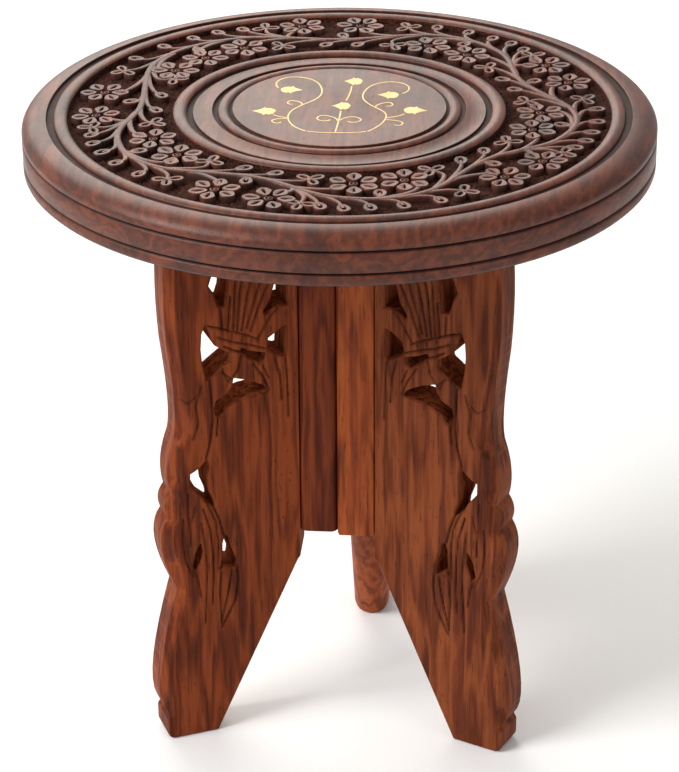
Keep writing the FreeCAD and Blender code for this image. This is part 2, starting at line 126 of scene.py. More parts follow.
def make_piece(name, skins, body, replaced=(), sharp=38.0, second=None):
    """One mesh object at the origin from (points, faces) skins, worked out in millimetres.

    sharp is the angle past which an edge stays crisp. second says, face by face, which ones take
    the piece's second material.
    """
    starts = np.cumsum([0] + [len(points) for points, _ in skins[:-1]])
    points = np.concatenate([points for points, _ in skins])
    faces = np.concatenate([faces + start for (_, faces), start in zip(skins, starts)])
    mesh = bpy.data.meshes.new(name)
    mesh.vertices.add(len(points))
    mesh.vertices.foreach_set("co", (points[:, :3] * MM).ravel())
    mesh.loops.add(faces.size)
    mesh.loops.foreach_set("vertex_index", faces.ravel())
    mesh.polygons.add(len(faces))
    mesh.polygons.foreach_set("loop_start", np.arange(0, faces.size, 4))
    mesh.polygons.foreach_set("loop_total", np.full(len(faces), 4))
    mesh.attributes.new("wax_and_shade", "FLOAT", "POINT").data.foreach_set("value", points[:, 3])
    if second is not None:
        mesh.polygons.foreach_set("material_index", second.astype(np.int32))
    mesh.update(calc_edges=True)
    work = bmesh.new()
    work.from_mesh(mesh)
    bmesh.ops.remove_doubles(work, verts=work.verts, dist=MERGE)
    bmesh.ops.dissolve_degenerate(work, edges=work.edges, dist=TINY)
    bmesh.ops.recalc_face_normals(work, faces=work.faces)
    work.to_mesh(mesh)
    work.free()
    mesh.shade_smooth()
    mesh.set_sharp_from_angle(angle=math.radians(sharp))
    piece = bpy.data.objects.new(name, mesh)
    bpy.context.scene.collection.objects.link(piece)
    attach(piece, body)
    if replaced:
        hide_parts(*replaced)
    print("%-18s %6d faces on %s" % (name, len(mesh.polygons), body))
    return piece


print("points closer than", MERGE, "m are merged")

# %% [markdown]
# ## Smooth lines through a few points
#
# A stem or a sawn edge is set out with a few points, as a carver marks them on the wood. A smooth
# path passes through all of its points. An outline has straight sides, and bowed sides where an
# entry also gives the middle of the bow.

# %% Paths and outlines
SPAN_STEPS = 24                     # fine points per span, before they are spaced evenly


def smooth_path(points, step, closed=False):
    """Points every step along a Catmull-Rom curve: a span blends its four nearest points."""
    points = np.asarray(points, float)
    if closed:
        padded = np.concatenate([points[-1:], points, points[:2]])
    else:
        before, after = 2 * points[:1] - points[1:2], 2 * points[-1:] - points[-2:-1]
        padded = np.concatenate([before, points, after])
    a, b, c, d = (p[:, None, :] for p in (padded[:-3], padded[1:-2], padded[2:-1], padded[3:]))
    t = np.linspace(0, 1, SPAN_STEPS, endpoint=False)[None, :, None]
    square, cube = 2 * a - 5 * b + 4 * c - d, 3 * b - a - 3 * c + d
    curve = 0.5 * (2 * b + (c - a) * t + square * t ** 2 + cube * t ** 3)
    curve = curve.reshape(-1, points.shape[1])
    curve = np.concatenate([curve, curve[:1] if closed else points[-1:]])
    along = np.concatenate([[0], np.cumsum(np.linalg.norm(np.diff(curve, axis=0), axis=1))])
    even = np.linspace(0, along[-1], max(3, int(round(along[-1] / step)) + 1))
    even = even[:-1] if closed else even
    return np.stack([np.interp(even, along, curve[:, k]) for k in range(points.shape[1])], -1)


def arc_loop(entries, steps=9):
    """A closed outline from (x, z) corners; (x, z, mid_x, mid_z) bows the side that ends there.

    A bowed side is the parabola through its two ends and the given middle.
    """
    sides = []
    for i, entry in enumerate(entries):
        start, end = np.array(entries[i - 1][:2]), np.array(entry[:2])
        if len(entry) == 2:
            sides.append(end[None])
            continue
        t = np.linspace(0, 1, steps + 1)[1:, None]
        bow = 2 * np.array(entry[2:]) - (start + end) / 2
        sides.append(start * (1 - t) ** 2 + 2 * bow * t * (1 - t) + end * t ** 2)
    return np.concatenate(sides)


bowed_square = arc_loop([(0, 0), (1, 0), (1, 1, 1.2, 0.5), (0, 1)])
print("a square with one bowed side has", len(bowed_square), "points")

# %% [markdown]
# ## The camera
#
# The table is seen from a little to the right of its front and from well above, through a long
# lens, so that the round top shows as a wide ellipse and the two open legs stand below it. A camera
# looks along its own -Z, so it is tipped up from the floor, turned about the upright, and rolled by
# a third of a degree.

# %% Set the camera
CAMERA_PLACE = Vector((0.1099, -1.2816, 0.8274))
CAMERA_TURN = math.radians(4.9)     # about the upright
CAMERA_TIP = 0.4667                 # radians down from level
CAMERA_ROLL = 0.006                 # radians about the line of sight
LENS = 151.4                        # millimetres, for a sensor 36 mm wide
SIDE_SHIFT = -0.0024

camera_data = bpy.data.cameras.new("camera")
camera_data.sensor_fit = "HORIZONTAL"
camera_data.sensor_width = 36.0
camera_data.lens = LENS
camera_data.shift_x = SIDE_SHIFT
camera_data.clip_end = 100.0
camera = bpy.data.objects.new("camera", camera_data)
bpy.context.scene.collection.objects.link(camera)
camera.matrix_world = (
    Matrix.Translation(CAMERA_PLACE)
    @ Matrix.Rotation(CAMERA_TURN, 4, "Z")
    @ Matrix.Rotation(math.pi / 2 - CAMERA_TIP, 4, "X")
    @ Matrix.Rotation(-CAMERA_ROLL, 4, "Z")
)
bpy.context.scene.camera = camera
to_top = CAMERA_PLACE - Vector((0, 0, FACE * MM))
print("camera %.2f m from the middle of the top" % to_top.length)

# %% [markdown]
# ## Turning the top
#
# A turner makes the top on a lathe: a profile is carried once round the middle. The profile is a
# list of radius and height, from the middle of the face, over the beads and grooves, down the rim
# and back along the underside. A real cutter leaves no knife-sharp corner, so each corner is first
# split into two points a hair apart. The floor of the carved band is punched all over with a small
# tool to make it dull: here it is a fine grid with seeded unevenness.

# %% Sizes of the turned rings
DISC = 51.5                         # radius of the flat middle, which holds the brass
BAND_IN, BAND_OUT = 80.0, 130.5     # the carved band, between its two beads
RIM_START = 140.5                   # where the rim begins to fall away
DISC_GROOVE, DISC_BEAD = 1.5, 5.5   # widths of the rings round the disc
COVE, MOAT, BAND_BEAD = 9.5, 3.0, 6.5
BAND_FLOOR = FACE - 4.0
BEAD_EDGE = FACE - 1.0              # the edges of a bead, below its crown
LIP = FACE - 0.6                    # the edges of the cove and of the rim, next to a groove
SHALLOW, MEDIUM, DEEP = FACE - 1.4, FACE - 2.0, FACE - 2.6  # floors of the ring grooves
SINK = 0.06                         # the disc has worn this much lower than the brass in it
NOTCH, NOTCH_HALF, NOTCH_FLOOR = 1.6, 0.9, 0.15     # the rim's two grooves: depth, half widths
RIM_LEVELS = (16.7, 6.0)            # the rim's grooves, above the underside
RIM_EDGE = FACE - 6.0               # where the rounded rim becomes upright
RIM_SHOULDER = (148.2, FACE - 1.9)  # the rim's round passes through here
UNDER_BEVEL = 1.5
print("carved band %.1f mm wide and %.1f mm deep" % (BAND_OUT - BAND_IN, FACE - BAND_FLOOR))

# %% The turned profile
def bow(start, end, middle, steps=6):
    """Points after start on the parabola through start, middle and end."""
    return [tuple(p) for p in arc_loop([start, (*end, *middle)], steps)[1:]]


def soften(profile, size=0.22, least=25.0):
    """Split every corner sharper than least degrees into two points, each size away from it."""
    result = [profile[0]]
    for before, here, after in zip(profile, profile[1:], profile[2:]):
        a, b = np.subtract(here, before), np.subtract(after, here)
        la, lb = np.linalg.norm(a), np.linalg.norm(b)
        turn = math.degrees(math.acos(np.clip(a @ b / (la * lb), -1, 1)))
        if turn < least:
            result.append(here)
        else:
            near, far = here - a / la * min(size, la / 3), here + b / lb * min(size, lb / 3)
            result += [tuple(near), tuple(far)]
    return result + [profile[-1]]


def bead(inner, outer, crown=FACE - 0.02):
    """A rounded bead from its inner edge to its outer edge, over its crown."""
    edge = (inner, BEAD_EDGE)
    return [edge] + bow(edge, (outer, BEAD_EDGE), ((inner + outer) / 2, crown))


def ring_profile():
    """Radius and height of the top, from the middle of its face round to that of its underside."""
    ring = DISC + DISC_GROOVE
    crown = ring + DISC_BEAD
    inner_bead, outer_bead = BAND_IN - BAND_BEAD, BAND_OUT + BAND_BEAD
    moat = inner_bead - MOAT
    cove = moat - COVE
    disc_face = FACE - SINK
    p = [(0, disc_face), (DISC / 2, disc_face), (DISC, disc_face), (DISC, SHALLOW), (ring, SHALLOW)]
    p += bead(ring, crown, FACE - 0.05) + [(crown, MEDIUM), (cove, MEDIUM), (cove, LIP)]
    p += bow((cove, LIP), (moat, SHALLOW), ((cove + moat) / 2 + 0.25, SHALLOW - 0.1))
    p += [(moat, DEEP), (inner_bead, DEEP)] + bead(inner_bead, BAND_IN)
    p += [(BAND_IN, BAND_FLOOR), (BAND_OUT, BAND_FLOOR)] + bead(BAND_OUT, outer_bead)
    p += [(outer_bead, MEDIUM), (RIM_START, MEDIUM), (RIM_START, LIP)]
    p += bow((RIM_START, LIP), (RIM, RIM_EDGE), RIM_SHOULDER, 9)
    for level in (UNDER + height for height in RIM_LEVELS):
        p += [(RIM, level + NOTCH_HALF), (RIM - NOTCH, level + NOTCH_FLOOR)]
        p += [(RIM - NOTCH, level - NOTCH_FLOOR), (RIM, level - NOTCH_HALF)]
    p += [(RIM, UNDER + UNDER_BEVEL), (RIM - UNDER_BEVEL, UNDER)]
    p += [(RIM * 0.6, UNDER), (RIM * 0.3, UNDER), (0, UNDER)]
    return soften(p)


def fill_band(profile, step):
    """The same profile with extra rings across the floor of the carved band."""
    result = []
    for start, end in zip(profile, profile[1:]):
        result.append(start)
        if start[1] == end[1] == BAND_FLOOR:
            count = int(abs(end[0] - start[0]) / step)
            t = np.linspace(0, 1, count + 1)[1:-1, None]
            result += [tuple(q) for q in np.array(start) * (1 - t) + np.array(end) * t]
    return np.array(result + [profile[-1]])


print("the profile has", len(ring_profile()), "points")

# %% Turn the top and punch the floor of the band
AROUND = 640                        # points round each ring
FLOOR_STEP = 0.85                   # rings across the band's floor are this far apart
PUNCH = (-0.55, 0.35)               # how far a punch mark moves the floor down or up
rng = np.random.default_rng(7)


def within(values, middle, reach):
    """1.0 where a value lies within reach of the middle, and 0.0 elsewhere."""
    return (np.abs(values - middle) < reach) * 1.0


def ring_darkness(radius, level):
    """How dark the turned grooves are painted, as dark wax and painted shade: 1 on the disc's and the rim's
    grooves, 0.9 on the rest.

    The bevel round the underside lies in the same ring as the rim's grooves, and is dark too.
    """
    disc_groove = within(level, SHALLOW, 0.2) * (radius < DISC + 2)
    others = 0.9 * within(level, (MEDIUM + DEEP) / 2, 0.65) * (radius < RIM_START + 0.5)
    rim_grooves = within(radius, RIM - NOTCH, 0.4) * (level < BAND_FLOOR)
    return disc_groove + others + rim_grooves


def turned_top():
    """The profile carried round the upright axis: radius cos a, radius sin a, height.

    Punch marks move the band's floor up and down a little.
    """
    profile = fill_band(ring_profile(), FLOOR_STEP)
    angle = np.arange(AROUND) * 2 * math.pi / AROUND
    radius, level = profile[:, :1], profile[:, 1:]
    floor = (level == BAND_FLOOR) * np.ones_like(angle)
    height = level + rng.uniform(*PUNCH, floor.shape) * floor
    # The band's floor and the turned grooves are painted dark here: dark wax and painted shade.
    wax_and_shade = floor + ring_darkness(radius, level)
    return np.stack([radius * np.cos(angle), radius * np.sin(angle), height, wax_and_shade], -1)


def ground_mask(points, faces):
    """The faces of the band's punched floor: lower than the beads and inside both walls."""
    x, y, z = points[faces][..., :3].mean(1).T
    radius = np.hypot(x, y)
    below = (z < MEDIUM + 0.3) & (z > (FACE + UNDER) / 2)
    return below & (radius > BAND_IN - 0.5) & (radius < BAND_OUT + 0.5)


top_skin = skin(turned_top())
top_piece = make_piece("turned_top", [top_skin], "tabletop", ["tabletop"],
                       second=ground_mask(*top_skin))

# %% [markdown]
# ## Carving the band: one module, five times
#
# The carver laid out a vine that waves between the inner and outer bead and swings five times round
# the top. Each swing carries the same sprays: two flowers in the outer hollow, two in the inner,
# buds on curling stems, and threefold sprigs at the forks. The module below is written once, in
# degrees along the vine and millimetres from the middle. Each swing has its own start, length and
# distance from the middle, because the real one was spaced by eye.

# %% The module and its five places
MODULE_SPAN = 70.0
SWINGS = [(28.0, 69.0, 2.8), (97.0, 86.0, 3.2), (183.0, 70.0, 2.2), (253.0, 70.0, 0.2),
          (323.0, 65.0, 1.0)]       # start and length in degrees, and how much further out

MAIN_VINE = [(-3, 93.6), (2, 94.2), (6, 96.6), (10, 99.6), (14, 103.6), (19, 107.8), (25, 110.6), (31, 112.3),
             (37, 112.1), (43, 109.6), (48, 105.6), (52, 101.6), (57, 97.6), (62, 94.8)]

SPRAYS = [
    ("flower", [(50, 103.4), (54, 102.2), (58.5, 103.6), (61.5, 107), (62.4, 114.3)]),
    ("flower", [(7, 97.4), (10, 100.8), (9, 106), (5.8, 114.8)]),
    ("sprig", [(10.5, 101), (12.6, 106), (13.6, 110.5), (13.2, 117.5)]),
    ("bud", [(10.5, 100.5), (13.6, 106), (16.2, 112), (17.6, 119.5)]),
    ("bud", [(16, 105.8), (19.5, 110), (21.6, 115), (22.6, 121.5)]),
    ("bud", [(22, 109.6), (25.5, 112.2), (27.6, 116), (28.2, 121.4)]),
    ("bud", [(28, 111.8), (32, 113.4), (34.6, 116.6), (35.2, 121.8)]),
    ("bud", [(34, 112.3), (39, 113), (42.5, 115.6), (43.4, 121.2)]),
    ("sprig", [(41.5, 110.3), (45, 110.8), (48, 112.4), (50.2, 116.6)]),
    ("bud", [(30, 112), (31.2, 110), (31.6, 106.2)]),
    ("flower", [(4, 95.6), (9, 98.8), (15, 99.8), (20, 99.2), (25.6, 94)]),
    ("flower", [(31.5, 111.8), (37, 109.4), (41, 105.4), (42, 100), (39.8, 94.4)]),
    ("sprig", [(0.5, 93.9), (6, 93.2), (11, 91.6), (13.2, 89)]),
    ("sprig", [(45, 107.8), (49, 101), (51.4, 95), (50, 88.6)]),
    ("bud", [(50, 103.6), (55, 96.8), (59, 91.4), (61.6, 86.4)]),
    ("bud", [(57.5, 97.4), (64, 93), (69, 89.8), (72, 86.2)]),
    ("bud", [(63, 94.6), (65.6, 95.2), (66.6, 99)]),
]

# The longest swing has room for three flowers in its inner hollow.
LONG_SPRAYS = [
    ("flower", [(4, 95.6), (9, 98.8), (14, 99.8), (18, 99.2), (22.4, 94.4)]),
    ("flower", [(24, 110), (29, 108), (33, 103), (33.8, 94.6)]),
    ("flower", [(36.5, 111.8), (41, 109), (45, 104.4), (46, 100), (44.8, 94.4)]),
]


def placed(points, swing):
    """Module points (degrees, radius) as x, y in millimetres for one of the five swings."""
    start, span, _ = SWINGS[swing]
    t, radius = np.asarray(points, float).T
    angle = start + t * span / MODULE_SPAN
    starts = np.array([s for s, _, _ in SWINGS])
    drift = np.interp(angle % 360, starts, [d for _, _, d in SWINGS], period=360)
    radius = radius + drift
    angle = np.radians(angle)
    return np.stack([radius * np.cos(angle), radius * np.sin(angle)], -1)


print(len(SWINGS), "swings with", len(SPRAYS), "sprays each, and one flower more in the longest")

# %% [markdown]
# ## Stems
#
# A stem is a ridge with a nearly flat crown and rounded shoulders: one small cross section carried
# along a smooth path. It stands on the band's floor and its sides go straight down into it. Along
# the main vine the chisel left a faint, steady row of nicks, so there the shoulders dip a little in
# a steady rhythm. The sides and the nicks are painted darker the lower they go: partly dark wax
# that stays on them, partly painted shade.

# %% Carry a rounded ridge along a path
RIDGE = np.array([(-1, -1), (-1, 0.5), (-0.84, 0.86), (-0.5, 0.99), (0, 1),
                  (0.5, 0.99), (0.84, 0.86), (1, 0.5), (1, -1)])    # across, and up to 1 at the crown
NICK_SPACING = 1.9


def ridge(path, half, crown, foot, nick=0.0, closed=False):
    """Cross section carried along a flat path: path + side * half * across, middle + up * half height.

    half is one half width or one for each point of the path; nick is how far the shoulders dip.
    """
    if closed:
        ahead = np.roll(path, -1, 0) - np.roll(path, 1, 0)
    else:
        ahead = np.gradient(path, axis=0)
    ahead /= np.linalg.norm(ahead, axis=1, keepdims=True)
    side = np.stack([-ahead[:, 1], ahead[:, 0]], -1)
    step = np.linalg.norm(path[1] - path[0])
    half = np.broadcast_to(half, len(path))[:, None]
    across = RIDGE[None, :, 0]
    up = RIDGE[None, :, 1]
    turns = np.arange(len(path))[:, None] * step / NICK_SPACING + np.abs(across) * 0.5
    beat = 0.5 + 0.5 * np.cos(2 * math.pi * turns)
    dip = nick * beat * (np.abs(across) > 0.3) * (up > 0)
    middle = (crown + foot) / 2
    level = middle + up * (crown - middle) - dip
    # The sides and the nicks are painted darker towards the foot: dark wax and painted shade.
    wax_and_shade = np.clip(1.1 * (1.0 - up), 0, 1) + dip * 1.2 + np.zeros_like(level)
    xy = path[:, None, :] + side[:, None, :] * (across * half)[..., None]
    points = np.concatenate([xy, level[..., None], wax_and_shade[..., None]], -1)
    if closed:
        return points.reshape(-1, 4), ring_around(points)
    return cap_ends(points)


def ring_around(points):
    """Faces of a section carried round a closed path: both directions of the grid join up."""
    rows, columns = points.shape[:2]
    row, column = np.meshgrid(np.arange(rows), np.arange(columns), indexing="ij")
    after, beside = (row + 1) % rows, (column + 1) % columns
    return np.stack([row * columns + column, row * columns + beside, after * columns + beside,
                     after * columns + column], -1).reshape(-1, 4)


def cap_ends(points):
    """Close a carried section by drawing each end in to one point."""
    first = np.broadcast_to(points[:1].mean(1, keepdims=True), (1,) + points.shape[1:])
    last = np.broadcast_to(points[-1:].mean(1, keepdims=True), (1,) + points.shape[1:])
    return skin(np.concatenate([first, points, last]))


print("a stem's section has", len(RIDGE), "points")

# %% [markdown]
# ## Petals and buds
#
# A petal, a bud and the eye of a flower are all the same kind of cut: an oval boss with a gouged
# hollow. A short list of rings, each with a length, a width and a height, is carried round an oval.
# A petal is flat on top with one narrow slit, as a single push of the gouge leaves it. The inner
# flowers are leafier, with a still narrower slit. A bud has a wider and deeper slot.

# %% Rings of each shape
CROWN = FACE - 0.75                 # general level of the carving, just below the beads
FOOT = BAND_FLOOR - 0.6
# Each ring is its length and width as parts of the oval's own, and its height from the crown.
PETAL = [(0, 0, -1.6), (0.54, 0.10, -1.5), (0.6, 0.2, -0.2), (0.68, 0.34, 0), (0.95, 0.92, 0), (1, 1, -0.4)]
LEAFY = [(0, 0, -1.2), (0.50, 0.06, -1.1), (0.56, 0.14, -0.2), (0.64, 0.26, 0), (0.95, 0.92, 0),
         (1, 1, -0.4)]
BUD = [(0, 0, -2.4), (0.52, 0.24, -2.3), (0.58, 0.36, -0.15), (0.68, 0.48, 0), (0.93, 0.9, 0),
       (1, 1, -0.45)]
EYE = [(0, 0, -0.1), (0.26, 0.26, -0.25), (0.36, 0.36, -1.1), (0.5, 0.5, -1.1), (0.66, 0.66, -0.1),
       (0.9, 0.9, -0.3), (1, 1, -1.2)]
# Walls and hollows are painted darker the further below the crown they go: dark wax and painted shade.
WALL_DARK = 1.1                     # a point this far below the crown is fully dark
print("rings of a petal, a leafy petal, a bud and an eye:", len(PETAL), len(LEAFY), len(BUD), len(EYE))

# %% Carry a list of rings round an oval
PETAL_LONG = (0.34, 0.385)          # half length of a petal, as a part of the flower's radius
PETAL_WIDE = (0.295, 0.325)         # and its half width
EYE_SIZE = 0.19
PETAL_SPREAD = 0.07                 # how far a petal strays from its even place, in radians


def oval(rings, centre, heading, long, wide, crown, tilt=0.0, around=14, flare=0.16, point=0.0):
    """Each ring round an oval, at the ring's height, tilted along its length.

    x = long (cos a + point cos 3a) / (1 + point) and y = wide sin a (1 + flare cos a).
    """
    table = np.array(rings + [(1.0, 1.0, FOOT - crown), (0.0, 0.0, FOOT - crown)])
    angle = np.arange(around) * 2 * math.pi / around
    x = table[:, :1] * long * (np.cos(angle) + point * np.cos(3 * angle)) / (1 + point)
    y = table[:, 1:2] * wide * np.sin(angle) * (1 + flare * np.cos(angle))
    level = crown + table[:, 2:] + tilt * x
    level[-2:] = FOOT
    # Painted darker below the crown: dark wax and painted shade.
    wax_and_shade = np.clip(-table[:, 2:] / WALL_DARK, 0, 1) + np.zeros_like(x)
    c, s = math.cos(heading), math.sin(heading)
    return skin(np.stack([centre[0] + c * x - s * y, centre[1] + s * x + c * y, level, wax_and_shade], -1))


def flower(centre, heading, size, petals, rings, lift):
    """Petals set round an eye, each a little different in length, width and direction."""
    skins = []
    for k in range(petals):
        turn = heading + 2 * math.pi * k / petals + rng.uniform(-PETAL_SPREAD, PETAL_SPREAD)
        long = size * rng.uniform(*PETAL_LONG)
        wide = size * rng.uniform(*PETAL_WIDE)
        out = size - long
        at = (centre[0] + out * math.cos(turn), centre[1] + out * math.sin(turn))
        skins.append(oval(rings, at, turn, long, wide, CROWN + lift, tilt=0.02, around=18, point=0.13))
    eye = size * EYE_SIZE
    skins.append(oval(EYE, centre, 0.0, eye, eye, CROWN + lift + 0.1, around=14, flare=0))
    return skins


one_petal = oval(PETAL, (0, 0), 0.0, 4.0, 3.5, CROWN)
print("one petal has", len(one_petal[1]), "faces")

# %% [markdown]
# ## Laying out the sprays
#
# Every spray is a stem that narrows towards its tip and carries a flower, a bud or a sprig of
# three. A flower's stem stops short under the petals. No two are cut quite alike, so sizes and
# directions vary a little, from seeded random numbers.

# %% One spray
STEM_STEP = 0.55
INNER_HOLLOW = 104.0                # a flower nearer the middle than this is a leafy one
STEM_HALF, FLOWER_STEM_HALF = (1.75, 0.95), (1.9, 1.15)     # half widths at the fork and the tip
STEM_SHORT = 4.0                    # a flower's stem stops this far from its middle
FLOWER_SIZE, FLOWER_TURN = (11.9, 12.5), 0.3
BUD_LONG, BUD_HALF = (4.2, 4.7), 3.25
SPRIG_TURN, SPRIG_REACH = 1.75, 3.7
SPRIG_LONG, SPRIG_HALF = 3.95, 2.7
stem_skins, flower_skins, bud_skins = [], [], []


def lay_spray(kind, points, swing):
    """Carve one spray: its stem along the path, and what stands at its tip."""
    path = smooth_path(placed(points, swing), STEM_STEP)
    tip = path[-1]
    heading = math.atan2(*(path[-1] - path[-4])[::-1])
    widths = STEM_HALF
    if kind == "flower":
        path = path[:-int(STEM_SHORT / STEM_STEP)]
        widths = FLOWER_STEM_HALF
        rings = LEAFY if np.hypot(*tip) < INNER_HOLLOW else PETAL
        turn = heading + rng.uniform(-FLOWER_TURN, FLOWER_TURN)
        size = rng.uniform(*FLOWER_SIZE)
        flower_skins.extend(flower(tip, turn, size, 6, rings, 0.1))
    elif kind == "bud":
        long = rng.uniform(*BUD_LONG)
        bud_skins.append(oval(BUD, tip, heading, long, BUD_HALF, CROWN, around=16))
    else:
        for turn in (-SPRIG_TURN, 0.0, SPRIG_TURN):
            way = heading + turn + rng.uniform(-0.15, 0.15)
            at = tip + SPRIG_REACH * np.array([math.cos(way), math.sin(way)])
            rings = BUD if turn else PETAL
            bud_skins.append(oval(rings, at, way, SPRIG_LONG, SPRIG_HALF, CROWN - 0.05))
    width = np.linspace(*widths, len(path))
    stem_skins.append(ridge(path, width, CROWN - 0.05, FOOT))


print("a flower has six petals and an eye, a sprig has three leaves")

# %% Lay the vine, then every spray
LONG_SWING = 80.0                   # degrees: a swing longer than this has the extra flower
vine = np.concatenate([placed(MAIN_VINE, swing) for swing in range(len(SWINGS))])
vine_path = smooth_path(vine, 0.5, closed=True)
stem_skins.append(ridge(vine_path, 1.75, CROWN + 0.15, FOOT, nick=0.1, closed=True))

for swing, (_, span, _) in enumerate(SWINGS):
    sprays = SPRAYS
    if span > LONG_SWING:
        # its own three flowers stand in for the two inner ones
        sprays = [s for s in SPRAYS if not (s[0] == "flower" and s[1][-1][1] < 100)] + LONG_SPRAYS
    for kind, points in sprays:
        lay_spray(kind, points, swing)

make_piece("carved_stems", stem_skins, "tabletop", sharp=33)
make_piece("carved_flowers", flower_skins, "tabletop", sharp=33)
make_piece("carved_buds", bud_skins, "tabletop", sharp=33)

# %% [markdown]
# ## Brass leaves
#
# Each leaf is a small plate filed to shape and let into the disc: a long point, a round base and a
# barb on each side. One outline serves all six. It is drawn in to the middle in a few rings, and
# eased at its upper edge, where it has been rubbed down level with the wood.

# %% File the leaves
# The outline, as parts of half the leaf's length and width, and rings as (width, drop in millimetres).
LEAF_EDGE = [(1, 0), (0.66, 0.20), (0.38, 0.46), (0.16, 0.68), (0.06, 1.0), (-0.10, 0.76), (-0.42, 0.82),
             (-0.74, 0.60), (-0.96, 0.24), (-0.90, -0.16), (-0.78, -0.58), (-0.48, -0.80), (-0.18, -0.68),
             (-0.02, -0.98), (0.12, -0.64), (0.38, -0.40), (0.68, -0.17)]
LEAF_RINGS = [(0, 0), (0.45, 0), (0.85, 0), (0.965, 0), (1, -0.06), (1, -1.2), (0, -1.2)]
FILED = 0.03                        # how uneven the filing is
LEAF_TIPS = {"inlay_leaf_crown": -1, "inlay_leaf_heart": -1, "inlay_leaf_left_scroll": 1,
             "inlay_leaf_left_low": -1, "inlay_leaf_right_scroll": -1, "inlay_leaf_right_low": 1}


def brass_leaf(node, tip):
    """The outline times each ring's width, at each ring's height; tip is the way it points along X."""
    low, high = (np.array(corner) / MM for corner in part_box(node))
    middle, half = (low + high) / 2, (high - low) / 2
    edge = np.array(LEAF_EDGE)
    filed = np.minimum(1 + FILED * np.sin(np.arange(len(edge)) * 2.4 + middle[0]), 1)
    width, drop = np.array(LEAF_RINGS).T
    x = middle[0] + tip * half[0] * width[:, None] * edge[:, 0] * filed
    y = middle[1] + half[1] * width[:, None] * edge[:, 1] * filed
    z = high[2] + drop[:, None] + np.zeros_like(x)
    return skin(np.stack([x, y, z, np.zeros_like(x)], -1))


for leaf, tip in LEAF_TIPS.items():
    name = leaf.replace("inlay", "brass")
    make_piece(name, [brass_leaf(leaf, tip)], "tabletop", [leaf], sharp=30)

# %% [markdown]
# ## Pierced boards
#
# The legs are boards sawn to a scrolled outline, pierced with openings, and carved on the face. To
# make one, lay a fine square grid over the board and ask of every crossing how far it is from the
# nearest sawn line, and on which side. Squares whose middle is wood are kept. The loose points
# along the rim then slide onto the sawn line itself, so the edge comes out smooth and not stepped.
# Front and back skins are joined by walls along every sawn edge.

# %% Distance to sawn lines
def nearest(points, loops):
    """For each point: its distance to the loops, the closest place on them, and if it is in the wood."""
    best = np.full(len(points), 1e9)
    place = np.zeros_like(points)
    wood = np.zeros(len(points), bool)
    x, z = points.T
    for loop in loops:
        for (x1, z1), (x2, z2) in zip(loop, np.roll(loop, -1, 0)):
            dx, dz = x2 - x1, z2 - z1
            along = np.clip(((x - x1) * dx + (z - z1) * dz) / max(dx * dx + dz * dz, 1e-9), 0, 1)
            px, pz = x1 + along * dx, z1 + along * dz
            away = np.hypot(x - px, z - pz)
            closer = away < best
            best[closer] = away[closer]
            place[closer] = np.stack([px, pz], -1)[closer]
            if z1 != z2:
                wood ^= ((z1 > z) != (z2 > z)) & (x < dx * (z - z1) / dz + x1)
    return best, place, wood


def line_distance(points, line):
    """Distance from each point to an open line of a few straight runs."""
    x, z = points.T
    best = np.full(len(points), 1e9)
    for (x1, z1), (x2, z2) in zip(line, line[1:]):
        dx, dz = x2 - x1, z2 - z1
        along = np.clip(((x - x1) * dx + (z - z1) * dz) / (dx * dx + dz * dz), 0, 1)
        best = np.minimum(best, np.hypot(x - x1 - along * dx, z - z1 - along * dz))
    return best


SQUARE = np.array([(0.0, 0.0), (10.0, 0.0), (10.0, 10.0), (0.0, 10.0)])
middle_distance = nearest(np.array([[5.0, 5.0]]), [SQUARE])[0][0]
print("from the middle of a 10 mm square to its edge: %.1f mm" % middle_distance)

# %% Saw a board
OFF_OUTLINE = 0.3                   # a wall further than this from the outline belongs to an opening


def sawn_board(loops, cell):
    """Grid points of the wood, its square faces, and the edges along every sawn line."""
    low, high = loops[0].min(0), loops[0].max(0)
    counts = np.ceil((high - low) / cell).astype(int) + 1
    axes = [np.linspace(a, b, n) for a, b, n in zip(low, high, counts)]
    grid = np.stack(np.meshgrid(*axes, indexing="ij"), -1)
    away, place, wood = nearest(grid.reshape(-1, 2), loops)
    signed = np.where(wood, away, -away).reshape(counts)
    keep = (signed[:-1, :-1] + signed[1:, :-1] + signed[:-1, 1:] + signed[1:, 1:]) > 0
    for _ in range(3):              # two squares that touch only at a corner get a third beside them
        a, b, c, d = keep[:-1, :-1], keep[1:, 1:], keep[1:, :-1], keep[:-1, 1:]
        c |= a & b & ~c & ~d
        a |= c & d & ~a & ~b
    number = np.arange(grid[..., 0].size).reshape(counts)
    i, j = np.nonzero(keep)
    faces = np.stack([number[i, j], number[i + 1, j], number[i + 1, j + 1], number[i, j + 1]], -1)
    edges = np.concatenate([faces[:, [k, (k + 1) % 4]] for k in range(4)])
    low_end, high_end = np.sort(edges, 1).T
    code = low_end * number.size + high_end     # the same for both faces that share an edge
    _, first, count = np.unique(code, return_index=True, return_counts=True)
    rim = edges[first[count == 1]]
    flat = grid.reshape(-1, 2)
    loose = np.unique(rim)
    flat[loose] = place[loose]
    used, faces = np.unique(faces, return_inverse=True)
    slot = np.full(number.size, -1)
    slot[used] = np.arange(len(used))
    return flat[used], faces.reshape(-1, 4), slot[rim]


